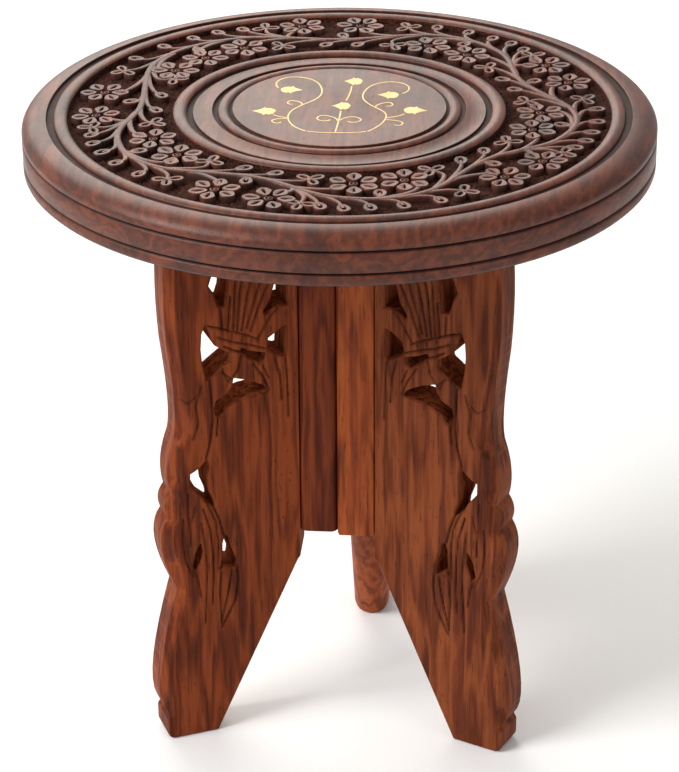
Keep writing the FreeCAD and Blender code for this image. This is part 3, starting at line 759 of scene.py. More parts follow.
def thick_board(flat, faces, rim, outline, front, back, thick, lean=0.0):
    """Front and back skins at their cut depths, walls between them, and which faces line an opening.

    lean slides the back skin along the board, which slants the walls there.
    """
    front_skin = np.stack([flat[:, 0], front, flat[:, 1], np.zeros(len(flat))], -1)
    back_skin = np.stack([flat[:, 0] + lean, thick - back, flat[:, 1], np.zeros(len(flat))], -1)
    count = len(flat)
    walls = np.stack([rim[:, 0], rim[:, 1], rim[:, 1] + count, rim[:, 0] + count], -1)
    inside = line_distance(flat[rim[:, 0]], np.concatenate([outline, outline[:1]])) > OFF_OUTLINE
    sawn = np.concatenate([np.zeros(2 * len(faces), bool), inside])
    points = np.concatenate([front_skin, back_skin])
    return points, np.concatenate([faces, faces[:, ::-1] + count, walls]), sawn


print("a 10 mm square in 1 mm cells:", len(sawn_board([SQUARE], 1.0)[1]), "faces")

# %% [markdown]
# ## The legs' outline, openings and carving
#
# Each leg's outer edge is a run of shallow lobes, its inner edge is straight down the hub and then
# slants to the foot. The openings make a palmette under the top and a sprig lower down. Between
# them the carver has cut lines with a narrow chisel: a fan of rays above a crossed band, petals
# below it, and long veins in the sprig.

# %% Outline and openings
WIDE, HEEL, FOOT_LONG = 73.4, 95.0, 27.4     # across a side leg, up to its heel, and along its foot


def scrolled_edge(edge):
    """The outer edge from the top down to the foot; an entry with four numbers is a bowed side."""
    high = UNDER
    return [(edge - 11.6, high), (edge - 7.8, 0.73 * high, edge - 7.0, 0.87 * high),
            (edge - 10.2, 0.566 * high, edge - 10.9, 0.625 * high),
            (edge - 7.2, 0.465 * high, edge - 6.2, 0.513 * high),
            (edge - 5.2, 0.421 * high, edge - 4.2, 0.444 * high),
            (edge - 8.6, 0.2845 * high, edge - 1.4, 0.368 * high),
            (edge - 1.6, 14.5, edge + 1.9, 0.125 * high), (edge, 12.0), (edge, 4.0),
            (edge - 4.0, 0.0, edge - 1.2, 1.2), (edge - FOOT_LONG, 0.0)]


OPENINGS = [
    [(5, 258), (9, 258), (13.6, 241), (17.7, 234.6), (16, 233.6), (11, 237.4), (5, 237.4)],
    [(34, 261), (42, 261), (44.8, 253), (42.5, 249.2), (40.5, 242), (37.1, 241), (35.4, 246)],
    [(5.3, 226), (8.4, 224.6), (15, 220.2), (15.6, 214.6), (12.2, 211.6), (6.2, 209.2)],
    [(16.4, 212.6), (23.7, 214.8), (29, 217.6), (29.4, 215), (25.2, 211.8), (19.5, 207.4), (17, 209.4)],
    [(47, 233), (44.5, 226), (42.8, 221), (38.5, 218), (34.5, 215.4), (34.8, 211), (38.5, 208.4), (44.5, 204),
     (47.2, 203), (49, 212), (49.6, 220), (49, 228)],
    [(14.8, 191.4), (18, 195.2), (25.8, 199.2), (33.2, 201.6), (34.2, 196.6), (37.5, 193.2), (42.5, 190.6),
     (43.8, 186), (42.2, 181.4), (39.6, 182), (36.5, 186), (31.5, 189), (26, 190.4)],
    [(48, 159.5), (50.6, 156.5), (54, 153.8), (57, 152.4), (57, 146.5), (52.4, 140.6), (49.8, 135.6),
     (44.6, 130.8), (45.2, 135), (47.4, 141), (48.2, 149), (47, 155)],
    [(39.6, 115.5), (41.2, 110), (41.4, 102), (43, 95), (40.2, 97.6), (34.6, 94.8), (34, 99), (36.6, 106.6),
     (37.8, 112)],
    [(52.4, 113), (55.6, 106.6), (57, 100), (56, 96.6), (53.4, 101), (51.6, 107)],
]

# Chisel lines as (half width, depth, points along the line).
CHISEL = [
    (0.9, 1.1, [(9, 262), (19, 240), (24, 226)]), (0.9, 1.0, [(14, 266), (21.5, 243), (26, 228)]),
    (0.9, 1.1, [(19, 270), (25.6, 244), (28.6, 227)]),
    (0.9, 1.1, [(24, 272), (29, 248), (31, 226)]),
    (0.9, 1.1, [(29.4, 272), (31.6, 250), (33, 227)]), (0.9, 1.1, [(34, 246), (35.6, 228)]),
    (0.9, 1.1, [(39, 240), (38.6, 229)]), (0.9, 1.0, [(10, 236), (14, 232), (20, 222)]),
    (0.8, 1.0, [(20, 220.6), (25, 223.6), (32, 226.6), (40, 230.2), (47, 232.6)]),
    (0.8, 0.9, [(17, 215.4), (25, 218.8), (33, 221.4), (41, 225.4)]),
    (0.8, 1.0, [(26, 214), (33, 217), (38, 220)]), (0.7, 0.8, [(24, 219), (23, 223)]),
    (0.7, 0.8, [(29, 220.6), (28, 225)]), (0.7, 0.8, [(34, 222.4), (33.4, 227)]),
    (0.8, 1.1, [(15, 192), (18, 200), (23, 208)]), (0.8, 1.0, [(12, 210), (9.4, 200), (8.6, 186)]),
    (0.8, 1.1, [(6.4, 208), (5.6, 196), (5.2, 176)]), (0.8, 0.9, [(18, 206), (15, 199)]),
    (0.8, 0.9, [(29, 214), (31, 206), (36, 200), (39, 208)]), (0.8, 1.0, [(35, 202), (39, 206)]),
    (0.9, 1.2, [(45.5, 203), (45, 192), (44.6, 181), (46, 170), (48.6, 160)]),
    (0.8, 1.1, [(42, 181), (42.8, 172)]), (0.8, 0.9, [(50, 200), (53, 190), (52, 180), (55, 172)]),
    (0.7, 0.8, [(52, 196), (57, 192), (60, 194)]),
    (0.9, 1.2, [(45, 131), (42.6, 124), (40.6, 115)]),
    (0.8, 1.0, [(48.4, 134), (44.6, 124), (43.4, 112), (44, 96)]),
    (0.8, 1.0, [(51, 132), (47.6, 120), (46.4, 106), (46.6, 90), (47.4, 76)]),
    (0.8, 0.9, [(52, 124), (50.6, 112), (49.6, 98), (50.6, 82), (51.4, 66)]),
    (0.9, 1.1, [(34, 96), (33.4, 88), (35.4, 76), (39.4, 68), (42.6, 62)]),
    (0.8, 1.1, [(36.6, 96), (37.6, 88), (40.2, 76), (42.6, 66)]),
    (0.8, 1.0, [(42.4, 94), (43.4, 82), (42.8, 64)]),
    (0.8, 0.9, [(57, 98), (54.6, 92), (53.4, 82)]),
    (0.7, 0.8, [(58.6, 142), (59, 130), (57.6, 118)]),
    (0.7, 0.8, [(61.5, 128), (62.4, 116), (61, 104), (57, 94)]),
    (0.7, 0.8, [(55, 134), (57.6, 124), (58, 112)]),
]


def side_loops(inner):
    """Outline of a side leg with its mitred inner edge at inner, and its openings."""
    outline = scrolled_edge(WIDE)
    outline = outline[1:] + [(inner, HEEL), (inner, UNDER), outline[0]]
    return [arc_loop(outline)] + [np.array(hole, float) for hole in OPENINGS]


print(len(OPENINGS), "openings and", len(CHISEL), "chisel lines on each leg")

# %% [markdown]
# ## How deep each point of a leg is cut
#
# The chisel lines are little vees: deepest on the line, fading over their half width. The outer
# edge is chopped back in broad facets, one to each lobe, with a sharp ridge between neighbours.
# Every other edge is rubbed slightly round. The deepest of these wins at each point. How deep the
# chisel lines alone are is also kept, as an attribute that later paints the lines darker: dark wax
# and painted shade in the grooves.

# %% Carve the face of a leg
OUTER = arc_loop(scrolled_edge(WIDE))[1:-12]    # the outer edge alone, without the foot
FACET_SLOPE = 1.05
EDGE_ROUND = 0.9
FULL_CUT = 1.1                      # a chisel line this deep is fully dark
# Height above the floor and width of the facets: wide on each lobe, narrow between two.
FACETS = [(304, 4.2), (196, 4.6), (176, 6.6), (168, 3.6), (150, 6.4), (143, 2.6), (134, 6.2),
          (126, 4.0), (100, 6.4), (88, 3.4), (72, 4.6), (45, 3.2), (22, 5.2), (13, 1.6), (0, 2.0)]


def rubbed(away, radius):
    """Depth of a rounded edge: radius - sqrt(radius^2 - (radius - away)^2), up to one radius in."""
    inside = np.clip(radius - away, 0, radius)
    return radius - np.sqrt(np.maximum(radius ** 2 - inside ** 2, 0))


def carved_face(flat, loops, shift=0.0):
    """Cut depth of the carved side of a board, and how dark its chisel lines are."""
    here = flat - np.array([shift, 0.0])
    depth = np.zeros(len(flat))
    for half, deep, line in CHISEL:
        depth = np.maximum(depth, deep * np.clip(1 - line_distance(here, line) / half, 0, 1))
    lines = depth.copy()
    outer = line_distance(here, OUTER)
    levels, widths = np.array(FACETS[::-1]).T
    width = np.interp(here[:, 1], levels, widths)
    depth = np.maximum(depth, FACET_SLOPE * np.clip(width - outer, 0, None))
    away, _, _ = nearest(flat, loops)
    return np.maximum(depth, rubbed(away, EDGE_ROUND)), np.clip(lines / FULL_CUT, 0, 1)


def board_place(points, origin, along, inward):
    """Board coordinates (along, depth, up, cut) to the frame's x, y, z, cut."""
    xy = np.array(origin) + points[:, :1] * np.array(along) + points[:, 1:2] * np.array(inward)
    return np.concatenate([xy, points[:, 2:]], 1)


print("facets along the outer edge of each leg:", len(FACETS))

# %% [markdown]
# ## The two side legs
#
# A side leg meets the hub at a slant, so its inner edge is mitred. The mitre is made by letting the
# back skin lean towards the hub over the last few millimetres. The leaning stops just above the
# heel.

# %% Make the two side legs
SIDE_CELL = 0.72                    # size of the grid's squares
MITRE_REACH, HEEL_BLEND = 4.6, 2.5


def side_leg(name, hand, body):
    """A mitred leg: its inner edge lies flat on the hub's side; hand is -1 for left and 1 for right."""
    loops = side_loops(0.0)
    flat, faces, rim = sawn_board(loops, SIDE_CELL)
    depth, darkness = carved_face(flat, loops)
    away, _, _ = nearest(flat, loops)
    above_heel = np.clip((flat[:, 1] - HEEL + HEEL_BLEND) / HEEL_BLEND, 0, 1)
    mitre = np.clip(1 - flat[:, 0] / MITRE_REACH, 0, 1) * above_heel
    depth *= 1 - mitre
    lean = -BOARD * math.tan(SPREAD) * mitre
    rear = rubbed(away, EDGE_ROUND) * (1 - mitre)
    points, faces, sawn = thick_board(flat, faces, rim, loops[0], depth, rear, BOARD, lean)
    # The chisel lines are painted darker by their depth: dark wax and painted shade.
    points[:len(flat), 3] = darkness
    origin = (hand * BOARD, MITRE_Y)
    along = (hand * math.cos(SPREAD), -math.sin(SPREAD))
    inward = (hand * math.sin(SPREAD), math.cos(SPREAD))
    placed_points = board_place(points, origin, along, inward)
    make_piece(name, [(placed_points, faces)], body, [body], sharp=32, second=sawn)


side_leg("carved_left_leg", -1, "left_leg")
side_leg("carved_right_leg", 1, "right_leg")

# %% [markdown]
# ## The fixed back leg
#
# The third leg is the same board made deeper, so that its front edge is half of the hub. It is
# carved on the side away from the hinge post. Its front corners are eased, and the slanting inner
# edge and the foot, which hands and brooms touch, are worn almost to a full round.

# %% Make the back leg
BACK_CELL = 0.95
HUB_UNDER = back_low[2] + 108.0     # the hub's underside
SHIFT = MITRE_Y + 56.0              # the same outline stands this far back from the middle
CORNER_ROUND, WORN_ROUND = 3.0, 8.4
PLAIN_SHARE = 0.2                   # of the corner's rounding, on the side next to the post


def back_loops(heel):
    """The back leg's outline, its front edge part of the hub, and its openings."""
    scroll = scrolled_edge(WIDE + SHIFT)
    outline = scroll[1:] + [(heel, HEEL - 2), (heel - 6, HUB_UNDER, heel - 2, HUB_UNDER - 3),
                            (HUB_FRONT, HUB_UNDER), (HUB_FRONT, UNDER), scroll[0]]
    return [arc_loop(outline)] + [np.array(hole, float) + [SHIFT, 0] for hole in OPENINGS]


def back_leg():
    """The deep board in the plane of Y and Z, its carved side facing +X."""
    heel = SHIFT + 1.0
    loops = back_loops(heel)
    flat, faces, rim = sawn_board(loops, BACK_CELL)
    depth, darkness = carved_face(flat, loops, SHIFT)
    away, _, _ = nearest(flat, loops)
    front_edge = [(HUB_FRONT, HUB_UNDER), (HUB_FRONT, UNDER)]
    nose = rubbed(line_distance(flat, front_edge), CORNER_ROUND)
    foot = SHIFT + WIDE
    slant = [(heel - 4, HUB_UNDER - 8), (heel, HEEL - 2), (foot - FOOT_LONG, 0), (foot - 4, 0)]
    worn = rubbed(line_distance(flat, slant), WORN_ROUND)
    front = np.maximum(np.maximum(depth, nose), worn)
    back = np.maximum(np.maximum(rubbed(away, EDGE_ROUND), nose * PLAIN_SHARE), worn)
    points, faces, sawn = thick_board(flat, faces, rim, loops[0], front, back, BOARD)
    # The chisel lines are painted darker by their depth: dark wax and painted shade.
    points[:len(flat), 3] = darkness
    placed_points = board_place(points, (back_high[0], 0.0), (0.0, 1.0), (-1.0, 0.0))
    make_piece("carved_back_leg", [(placed_points, faces)], "hub", ["back_leg"], 32, sawn)


back_leg()

# %% [markdown]
# ## Wood, as nodes
#
# Rosewood is dark brown lines and red-brown ground, with short open pores along the grain and small
# pits where a knot was near. One group makes the figure for every wooden piece. It stretches a
# noise along the grain for broad patches, another for streaks and a third for fibres, and draws
# growth lines along the broad one. Pores come from a fourth noise and pits from scattered cells. It
# puts out a figure from dark to light, the pores, a mottle, and a height for the bump. The pattern
# reads Object coordinates, so it runs through the wood like real grain.

# %% Node helpers
def add(tree, kind, **values):
    """A node in tree: a socket is linked to the input of that name, any other value is set on it."""
    made = tree.nodes.new(kind)
    for key, value in values.items():
        name = key.replace("_", " ")
        target = made.inputs.get(name) or made.inputs.get(name.title())
        if key.startswith("in") and key[2:].isdigit():
            target = made.inputs[int(key[2:])]
        if target is None:
            setattr(made, key, value)
        elif isinstance(value, bpy.types.NodeSocket):
            tree.links.new(value, target)
        else:
            target.default_value = value
    return made


def math_node(tree, operation, a, b=0.5, clamp=False):
    """The output of one Math node on a and b, each a socket or a number."""
    made = add(tree, "ShaderNodeMath", operation=operation, in0=a, in1=b)
    made.use_clamp = clamp
    return made.outputs[0]


def ramp(tree, factor, stops):
    """A colour ramp with (place, colour) stops."""
    made = add(tree, "ShaderNodeValToRGB", Fac=factor)
    while len(made.color_ramp.elements) < len(stops):
        made.color_ramp.elements.new(0.5)
    for element, (place, colour) in zip(made.color_ramp.elements, stops):
        element.position = place
        element.color = (*colour, 1.0)
    return made.outputs["Color"]


def times(tree, a, b, clamp=False):
    """a times b."""
    return math_node(tree, "MULTIPLY", a, b, clamp)


def plus(tree, a, b, clamp=False):
    """a plus b."""
    return math_node(tree, "ADD", a, b, clamp)


def minus(tree, a, b):
    """a minus b."""
    return math_node(tree, "SUBTRACT", a, b)


def mix(tree, factor, a, b):
    """Colour a turning into colour b as the factor goes from 0 to 1."""
    made = tree.nodes.new("ShaderNodeMix")
    made.data_type = "RGBA"
    for socket, value in zip((made.inputs[0], made.inputs[6], made.inputs[7]), (factor, a, b)):
        if isinstance(value, bpy.types.NodeSocket):
            tree.links.new(value, socket)
        else:
            socket.default_value = value if socket is made.inputs[0] else (*value, 1.0)
    return made.outputs[2]


def new_group(name, inputs, outputs):
    """A shader node group with float, vector or colour sockets, and its input and output nodes."""
    tree = bpy.data.node_groups.new(name, "ShaderNodeTree")
    for label, kind in inputs:
        tree.interface.new_socket(label, in_out="INPUT", socket_type="NodeSocket" + kind)
    for label, kind in outputs:
        tree.interface.new_socket(label, in_out="OUTPUT", socket_type="NodeSocket" + kind)
    return tree, tree.nodes.new("NodeGroupInput"), tree.nodes.new("NodeGroupOutput")


print("node helpers: add, math_node, times, plus, minus, ramp, mix and new_group")

# %% The figure of rosewood
GROWTH_LINES = 46.0                 # how closely the growth lines follow each other
PORE_LEVEL, PIT_LEVEL, PIT_PLACES = 0.37, 0.17, 0.50
CRISP = 9.0                         # how sharply a pore or pit begins


def rosewood_figure():
    """Streaks, growth lines, pores and pits, all drawn out along the Z of the Vector that comes in."""
    tree, given, result = new_group(
        "rosewood_figure", [("Vector", "Vector"), ("Fineness", "Float")],
        [("Figure", "Float"), ("Pores", "Float"), ("Mottle", "Float"), ("Height", "Float")])

    def stretched(scale, squeeze, detail):
        """Noise drawn out along the grain; a smaller squeeze makes longer streaks."""
        long = add(tree, "ShaderNodeMapping", Vector=given.outputs["Vector"])
        long.inputs["Scale"].default_value = (1.0, 1.0, squeeze)
        size = times(tree, given.outputs["Fineness"], scale)
        noise = add(tree, "ShaderNodeTexNoise", Vector=long.outputs[0], Scale=size, Detail=detail,
                    Roughness=0.55)
        return noise.outputs["Fac"]

    broad = stretched(55.0, 0.10, 3.0)
    streak = stretched(300.0, 0.03, 4.0)
    fibre = stretched(1100.0, 0.03, 2.0)
    pore = stretched(1500.0, 0.07, 1.0)
    mottle = stretched(42.0, 0.7, 5.0)
    # figure = 0.62 streak + 0.46 broad + 0.16 sin(46 broad) + 0.4 (fibre - 0.16) - 0.02
    lines = math_node(tree, "SINE", times(tree, broad, GROWTH_LINES), 0.0)
    lines = math_node(tree, "MULTIPLY_ADD", lines, 0.16)
    figure = plus(tree, times(tree, streak, 0.62), times(tree, broad, 0.46))
    figure = plus(tree, figure, minus(tree, lines, 0.52))
    figure = plus(tree, figure, times(tree, minus(tree, fibre, 0.16), 0.4), clamp=True)
    dots = times(tree, minus(tree, PORE_LEVEL, pore), CRISP, clamp=True)
    pitted = add(tree, "ShaderNodeMapping", Vector=given.outputs["Vector"])
    pitted.inputs["Scale"].default_value = (1.0, 1.0, 0.55)
    cells = add(tree, "ShaderNodeTexVoronoi", Vector=pitted.outputs[0], Scale=260.0).outputs["Distance"]
    pits = times(tree, minus(tree, PIT_LEVEL, cells), CRISP, clamp=True)
    where = times(tree, minus(tree, broad, PIT_PLACES), CRISP, clamp=True)
    dots = math_node(tree, "MAXIMUM", dots, times(tree, pits, where))
    height = minus(tree, times(tree, fibre, 0.5), dots)
    for label, socket in (("Figure", figure), ("Pores", dots), ("Mottle", mottle), ("Height", height)):
        tree.links.new(socket, result.inputs[label])
    return tree


FIGURE = rosewood_figure()
print(FIGURE.name, "has", len(FIGURE.nodes), "nodes")

# %% [markdown]
# ## Dark wax, painted shade and finger marks
#
# Chisel cuts hold dark wax and lie in shade, and the polish is never even. This second group darkens
# a colour by the attribute made with each piece, as dark wax and painted shade in the cuts, and puts
# out a roughness that is dull in the cuts and uneven on the face, from a soft cloud of handling and
# finer smears.

# %% Wax and painted shade
# The colour that the cuts are painted towards: dark wax and painted shade.
OLD_WAX_AND_SHADE = (0.012, 0.005, 0.004)


def wax_shade_and_wear():
    """Colour painted darker in the cuts, as dark wax and painted shade; Roughness = Polish + 0.12 cloud +
    0.10 smear + 0.35 of that darkness.
    """
    tree, given, result = new_group(
        "wax_shade_and_wear", [("Color", "Color"), ("Vector", "Vector"), ("Dirt", "Float"), ("Polish", "Float")],
        [("Color", "Color"), ("Roughness", "Float")])
    wax_and_shade = add(tree, "ShaderNodeAttribute", attribute_name="wax_and_shade").outputs["Fac"]
    place = given.outputs["Vector"]
    cloud = add(tree, "ShaderNodeTexNoise", Vector=place, Scale=26.0, Detail=4.0).outputs["Fac"]
    smear = add(tree, "ShaderNodeTexNoise", Vector=place, Scale=240.0, Detail=3.0).outputs["Fac"]
    deep = times(tree, wax_and_shade, given.outputs["Dirt"], clamp=True)
    dark = mix(tree, deep, given.outputs["Color"], OLD_WAX_AND_SHADE)
    tree.links.new(dark, result.inputs["Color"])
    rough = plus(tree, given.outputs["Polish"], times(tree, cloud, 0.12))
    rough = plus(tree, rough, times(tree, smear, 0.10))
    rough = plus(tree, rough, times(tree, deep, 0.35), clamp=True)
    tree.links.new(rough, result.inputs["Roughness"])
    return tree


WAX_SHADE_AND_WEAR = wax_shade_and_wear()
print(WAX_SHADE_AND_WEAR.name, "has", len(WAX_SHADE_AND_WEAR.nodes), "nodes")

# %% [markdown]
# ## Waxed rosewood
#
# Every waxed piece gets the same chain: the figure, coloured by a ramp, a darker stain in soft
# blotches, the pores, and the dark wax and painted shade of the cuts over it all. Only the numbers
# differ, because each board came from its own plank, and because the back leg and the post are
# painted lighter and darker for the light that falls on them. The shader itself stays in the
# material, with its even values set on it.

# %% The wood material
PORE_BROWN = (0.016, 0.006, 0.004)
STAIN_BROWN = (0.02, 0.006, 0.004)


def principled(name, **fixed):
    """A material with one Principled shader; plain numbers are set on its own sockets."""
    material = bpy.data.materials.new(name)
    material.use_nodes = True
    tree = material.node_tree
    shader = tree.nodes["Principled BSDF"]
    for key, value in fixed.items():
        shader.inputs[key.replace("_", " ")].default_value = value
    return material, tree, shader


def wood(name, grain, stops, polish, mottle, shine, dirt=0.8, offset=(0, 0, 0), stain=STAIN_BROWN,
         pores=0.6):
    """Waxed rosewood; grain turns the board so that its fibres run along the pattern's Z."""
    material, tree, shader = principled(name, Specular_IOR_Level=shine)
    place = add(tree, "ShaderNodeTexCoord").outputs["Object"]
    turned = add(tree, "ShaderNodeMapping", Vector=place)
    turned.inputs["Rotation"].default_value = grain
    turned.inputs["Location"].default_value = offset
    figure = add(tree, "ShaderNodeGroup", node_tree=FIGURE, Vector=turned.outputs[0], Fineness=1.0)
    colour = ramp(tree, figure.outputs["Figure"], stops)
    blotch = times(tree, minus(tree, figure.outputs["Mottle"], 0.5), mottle * 4.0, clamp=True)
    colour = mix(tree, blotch, colour, stain)
    colour = mix(tree, times(tree, figure.outputs["Pores"], pores), colour, PORE_BROWN)
    # The cuts are painted darker here: dark wax and painted shade.
    worn = add(tree, "ShaderNodeGroup", node_tree=WAX_SHADE_AND_WEAR, Color=colour, Vector=place, Dirt=dirt,
               Polish=polish)
    relief = add(tree, "ShaderNodeBump", Height=figure.outputs["Height"], Strength=0.25, Distance=0.0004)
    tree.links.new(worn.outputs["Color"], shader.inputs["Base Color"])
    tree.links.new(worn.outputs["Roughness"], shader.inputs["Roughness"])
    tree.links.new(relief.outputs[0], shader.inputs["Normal"])
    return material


print("wood(name, grain, stops, ...) makes one waxed wood")

# %% [markdown]
# ## Five woods
#
# The top is the greyest, with dark stains and the most polish. The two front legs, the back leg and
# the post differ in how red and how light they are: the back leg is painted much lighter, as painted
# light on its front edge at the hub, which faces the light, and the post is darker, partly its own
# darker wood and partly painted shade. Grain runs across the top and up every board.
# Each ramp goes from the dark lines to the light ground.

# %% Mix the woods
ALONG_Y = (math.pi / 2, 0.0, 0.0)
UPRIGHT = (0.0, 0.0, 0.0)
TOP_STOPS = [(0.22, (0.058, 0.017, 0.011)), (0.45, (0.080, 0.022, 0.012)), (0.62, (0.105, 0.027, 0.013)),
             (0.85, (0.15, 0.038, 0.017))]
LEFT_STOPS = [(0.22, (0.030, 0.006, 0.003)), (0.42, (0.092, 0.017, 0.005)), (0.60, (0.155, 0.029, 0.007)),
              (0.85, (0.24, 0.050, 0.012))]
RIGHT_STOPS = [(0.22, (0.026, 0.006, 0.003)), (0.42, (0.088, 0.018, 0.006)), (0.60, (0.150, 0.033, 0.010)),
               (0.85, (0.23, 0.057, 0.017))]
# Painted light: the back leg is made much lighter, because its front edge at the hub faces the light.
BACK_STOPS_PAINTED_LIGHT = [(0.22, (0.045, 0.009, 0.003)), (0.42, (0.15, 0.027, 0.006)), (0.60, (0.25, 0.048, 0.010)),
              (0.85, (0.36, 0.080, 0.016))]
# The post is darker: partly its own darker wood, partly painted shade because it faces away from the light.
POST_STOPS_PAINTED_SHADE = [(0.22, (0.024, 0.005, 0.003)), (0.42, (0.075, 0.013, 0.004)), (0.60, (0.125, 0.022, 0.006)),
              (0.85, (0.19, 0.038, 0.010))]

top_wood = wood("waxed_top", ALONG_Y, TOP_STOPS, polish=0.30, mottle=0.8, shine=0.3, dirt=0.9,
                stain=(0.022, 0.011, 0.009), pores=0.35)
left_wood = wood("waxed_left_leg", UPRIGHT, LEFT_STOPS, polish=0.46, mottle=0.3, shine=0.1)
right_wood = wood("waxed_right_leg", UPRIGHT, RIGHT_STOPS, polish=0.46, mottle=0.25, shine=0.1,
                  offset=(0.5, 0.2, 0.1))
back_wood_painted_light = wood("waxed_back_leg", UPRIGHT, BACK_STOPS_PAINTED_LIGHT, polish=0.38, mottle=0.2, shine=0.15,
                 offset=(0.3, 0.1, 0.0))
post_wood_painted_shade = wood("waxed_post", UPRIGHT, POST_STOPS_PAINTED_SHADE, polish=0.42, mottle=0.3, shine=0.1,
                 offset=(0.7, 0.4, 0.2))
print("woods:", ", ".join(w.name for w in (top_wood, left_wood, right_wood, back_wood_painted_light, post_wood_painted_shade)))

# %% [markdown]
# ## The punched floor and the sawn walls
#
# Two places have no polish. The floor of the carved band is dulled with a punch and full of old
# wax, and it is painted nearly black with brown specks: old wax, and painted shade in the hollow.
# The walls of the openings are plain sawn wood without wax. Both are second materials of their
# pieces, given to some faces only.

# %% Dull woods
def punched_shaded_ground():
    """The dull floor of the band: painted nearly black, old wax and painted shade over brown wood, with no
    shine.
    """
    material, tree, shader = principled("punched_shaded_ground", Specular_IOR_Level=0.12, Roughness=0.95)
    place = add(tree, "ShaderNodeTexCoord").outputs["Object"]
    speck = add(tree, "ShaderNodeTexNoise", Vector=place, Scale=900.0, Detail=3.0).outputs["Fac"]
    # Nearly black with brown specks: old wax and painted shade.
    stops = [(0.35, (0.014, 0.005, 0.004)), (0.55, (0.050, 0.016, 0.010)), (0.75, (0.11, 0.034, 0.019))]
    tree.links.new(ramp(tree, speck, stops), shader.inputs["Base Color"])
    relief = add(tree, "ShaderNodeBump", Height=speck, Strength=0.5, Distance=0.0003)
    tree.links.new(relief.outputs[0], shader.inputs["Normal"])
    return material


def sawn_wood():
    """The walls of the openings: bare sawn wood, with no wax and no shine."""
    material, tree, shader = principled("sawn_wood", Specular_IOR_Level=0.0, Roughness=1.0)
    place = add(tree, "ShaderNodeTexCoord").outputs["Object"]
    figure = add(tree, "ShaderNodeGroup", node_tree=FIGURE, Vector=place, Fineness=1.4)
    stops = [(0.25, (0.060, 0.012, 0.005)), (0.5, (0.150, 0.034, 0.013)), (0.8, (0.29, 0.080, 0.030))]
    tree.links.new(ramp(tree, figure.outputs["Figure"], stops), shader.inputs["Base Color"])
    relief = add(tree, "ShaderNodeBump", Height=figure.outputs["Height"], Strength=0.5, Distance=0.0004)
    tree.links.new(relief.outputs[0], shader.inputs["Normal"])
    return material


ground_wood = punched_shaded_ground()
bare_wood = sawn_wood()
print("dull woods:", ground_wood.name, "and", bare_wood.name)

# %% [markdown]
# ## Brass and steel
#
# The inlay was rubbed down with the wood, so it is fairly dull. The hinges are another brass, and
# the screws are steel. All three get a cloud of tarnish, which dulls the colour, and fine scratches.

# %% Mix the metals
def metal(name, colour, dull, roughness, scratch):
    """Rubbed metal: a cloud of tarnish, and fine scratches one way as bump and roughness."""
    material, tree, shader = principled(name, Metallic=1.0)
    place = add(tree, "ShaderNodeTexCoord").outputs["Object"]
    cloud = add(tree, "ShaderNodeTexNoise", Vector=place, Scale=160.0, Detail=5.0).outputs["Fac"]
    line = add(tree, "ShaderNodeMapping", Vector=place)
    line.inputs["Scale"].default_value = (1.0, 14.0, 1.0)
    hair = add(tree, "ShaderNodeTexNoise", Vector=line.outputs[0], Scale=420.0, Detail=2.0).outputs["Fac"]
    tarnish = times(tree, minus(tree, cloud, 0.42), 3.2, clamp=True)
    tree.links.new(mix(tree, tarnish, colour, dull), shader.inputs["Base Color"])
    rough = plus(tree, times(tree, hair, scratch), roughness, clamp=True)
    tree.links.new(rough, shader.inputs["Roughness"])
    relief = add(tree, "ShaderNodeBump", Height=hair, Strength=0.2, Distance=0.0001)
    tree.links.new(relief.outputs[0], shader.inputs["Normal"])
    return material


inlay_brass = metal("inlay_brass", (0.70, 0.53, 0.27), (0.60, 0.43, 0.20), 0.46, 0.2)
hinge_brass = metal("hinge_brass", (0.60, 0.43, 0.18), (0.44, 0.29, 0.12), 0.30, 0.25)
screw_steel = metal("screw_steel", (0.46, 0.45, 0.43), (0.20, 0.18, 0.16), 0.3, 0.3)
print("metals:", inlay_brass.name, hinge_brass.name, screw_steel.name)

# %% [markdown]
# ## Dressing
#
# A frame piece is given its material by a word in its name. The new pieces are dressed one by one.

# %% Dress every piece
FINISHES = {"inlay": inlay_brass, "pin": hinge_brass, "leaf": hinge_brass, "screws": screw_steel,
            "post": post_wood_painted_shade, "block": post_wood_painted_shade}


def dress(piece, material):
    """Put the material in the piece's first slot, and leave which face has which slot as it is."""
    if piece.data.materials:
        piece.data.materials[0] = material
    else:
        piece.data.materials.append(material)


for name, node in frame["nodes"].items():
    word = next((w for w in ("inlay", "screws", "pin", "leaf", "block") if w in name), "post")
    dress(node, FINISHES[word])
for name in ("turned_top", "carved_stems", "carved_flowers", "carved_buds"):
    dress(bpy.data.objects[name], top_wood)
for leaf in LEAF_TIPS:
    dress(bpy.data.objects[leaf.replace("inlay", "brass")], inlay_brass)
top_piece.data.materials.append(ground_wood)
dress(bpy.data.objects["carved_left_leg"], left_wood)
dress(bpy.data.objects["carved_right_leg"], right_wood)
dress(bpy.data.objects["carved_back_leg"], back_wood_painted_light)
for name in ("carved_left_leg", "carved_right_leg", "carved_back_leg"):
    bpy.data.objects[name].data.materials.append(bare_wood)
print("dressed", len(frame["nodes"]), "frame pieces and", 4 + len(LEAF_TIPS) + 3, "new ones")

# %% [markdown]
# ## Floor and light
#
# A plain pale floor and soft light: a large window of light high on the left, a weaker one on the
# right, and a broad warm one behind that puts a sheen on the top. The surround is bright on the
# left and behind, and darker on the right and in front, so that the wax shows it and the carving
# has soft shadows.

# %% The floor
REACH = 30.0                        # metres from the middle to the floor's edges


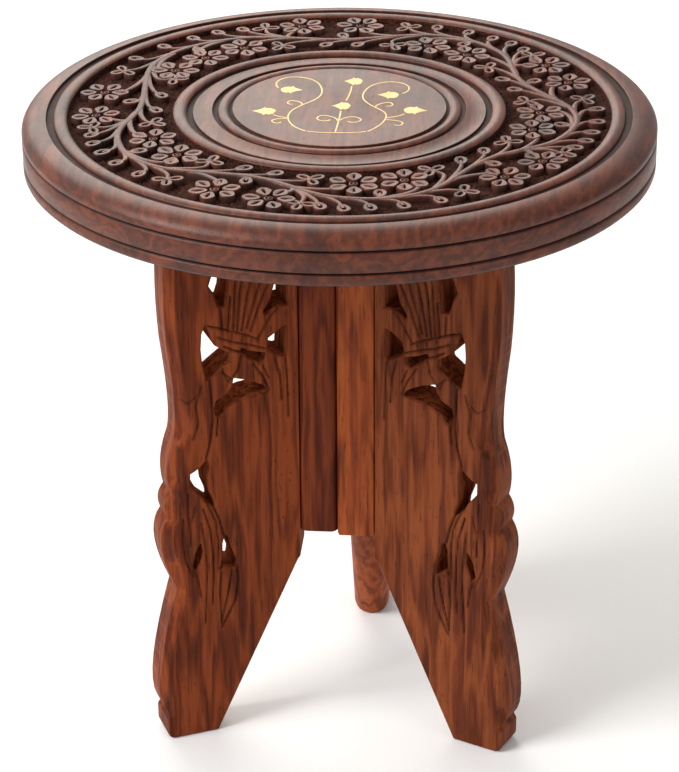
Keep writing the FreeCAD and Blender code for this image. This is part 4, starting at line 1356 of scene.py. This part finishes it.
def plain_floor():
    """One large square under the table."""
    mesh = bpy.data.meshes.new("floor")
    corners = [(-REACH, -REACH, 0), (REACH, -REACH, 0), (REACH, REACH, 0), (-REACH, REACH, 0)]
    mesh.from_pydata(corners, [], [(0, 1, 2, 3)])
    floor = bpy.data.objects.new("floor", mesh)
    bpy.context.scene.collection.objects.link(floor)
    material, _, _ = principled("floor_paper", Base_Color=(0.9, 0.9, 0.89, 1), Roughness=0.9)
    mesh.materials.append(material)


plain_floor()
print("floor %.0f m across" % (2 * REACH))

# %% The lamps and the surround
def soft_light(name, place, target, size, power, colour=(1, 1, 1)):
    """A square area light at place that faces target."""
    data = bpy.data.lights.new(name, "AREA")
    data.color = colour
    data.size = size
    data.energy = power
    lamp = bpy.data.objects.new(name, data)
    bpy.context.scene.collection.objects.link(lamp)
    lamp.location = place
    lamp.rotation_euler = (Vector(target) - Vector(place)).to_track_quat("-Z", "Y").to_euler()
    return lamp


MIDDLE = (0.0, 0.0, 0.22)
soft_light("window_left", (-1.5, -0.9, 1.7), MIDDLE, 1.0, 44)
soft_light("fill_right", (1.7, -1.3, 0.9), MIDDLE, 1.2, 7)
soft_light("back_high", (-0.6, 1.8, 1.4), MIDDLE, 1.6, 28, (1.0, 0.95, 0.86))

WORLD_STOPS = [(0.1, (0.30, 0.30, 0.31)), (0.45, (0.50, 0.50, 0.51)), (0.9, (0.95, 0.94, 0.92))]


def pale_room():
    """A surround whose brightness follows the direction: 0.55 of leftward plus 0.45 of behind."""
    world = bpy.data.worlds.new("pale_room")
    world.use_nodes = True
    sky = world.node_tree
    way = add(sky, "ShaderNodeTexCoord").outputs["Generated"]
    ahead = add(sky, "ShaderNodeSeparateXYZ", Vector=way)
    leftward = math_node(sky, "MULTIPLY_ADD", ahead.outputs["X"], -0.5)
    behind = math_node(sky, "MULTIPLY_ADD", ahead.outputs["Y"], 0.5)
    pale = plus(sky, times(sky, leftward, 0.55), times(sky, behind, 0.45))
    background = sky.nodes["Background"]
    sky.links.new(ramp(sky, pale, WORLD_STOPS), background.inputs["Color"])
    background.inputs["Strength"].default_value = 1.0
    return world


bpy.context.scene.world = pale_room()
bpy.context.scene.view_settings.view_transform = "Standard"
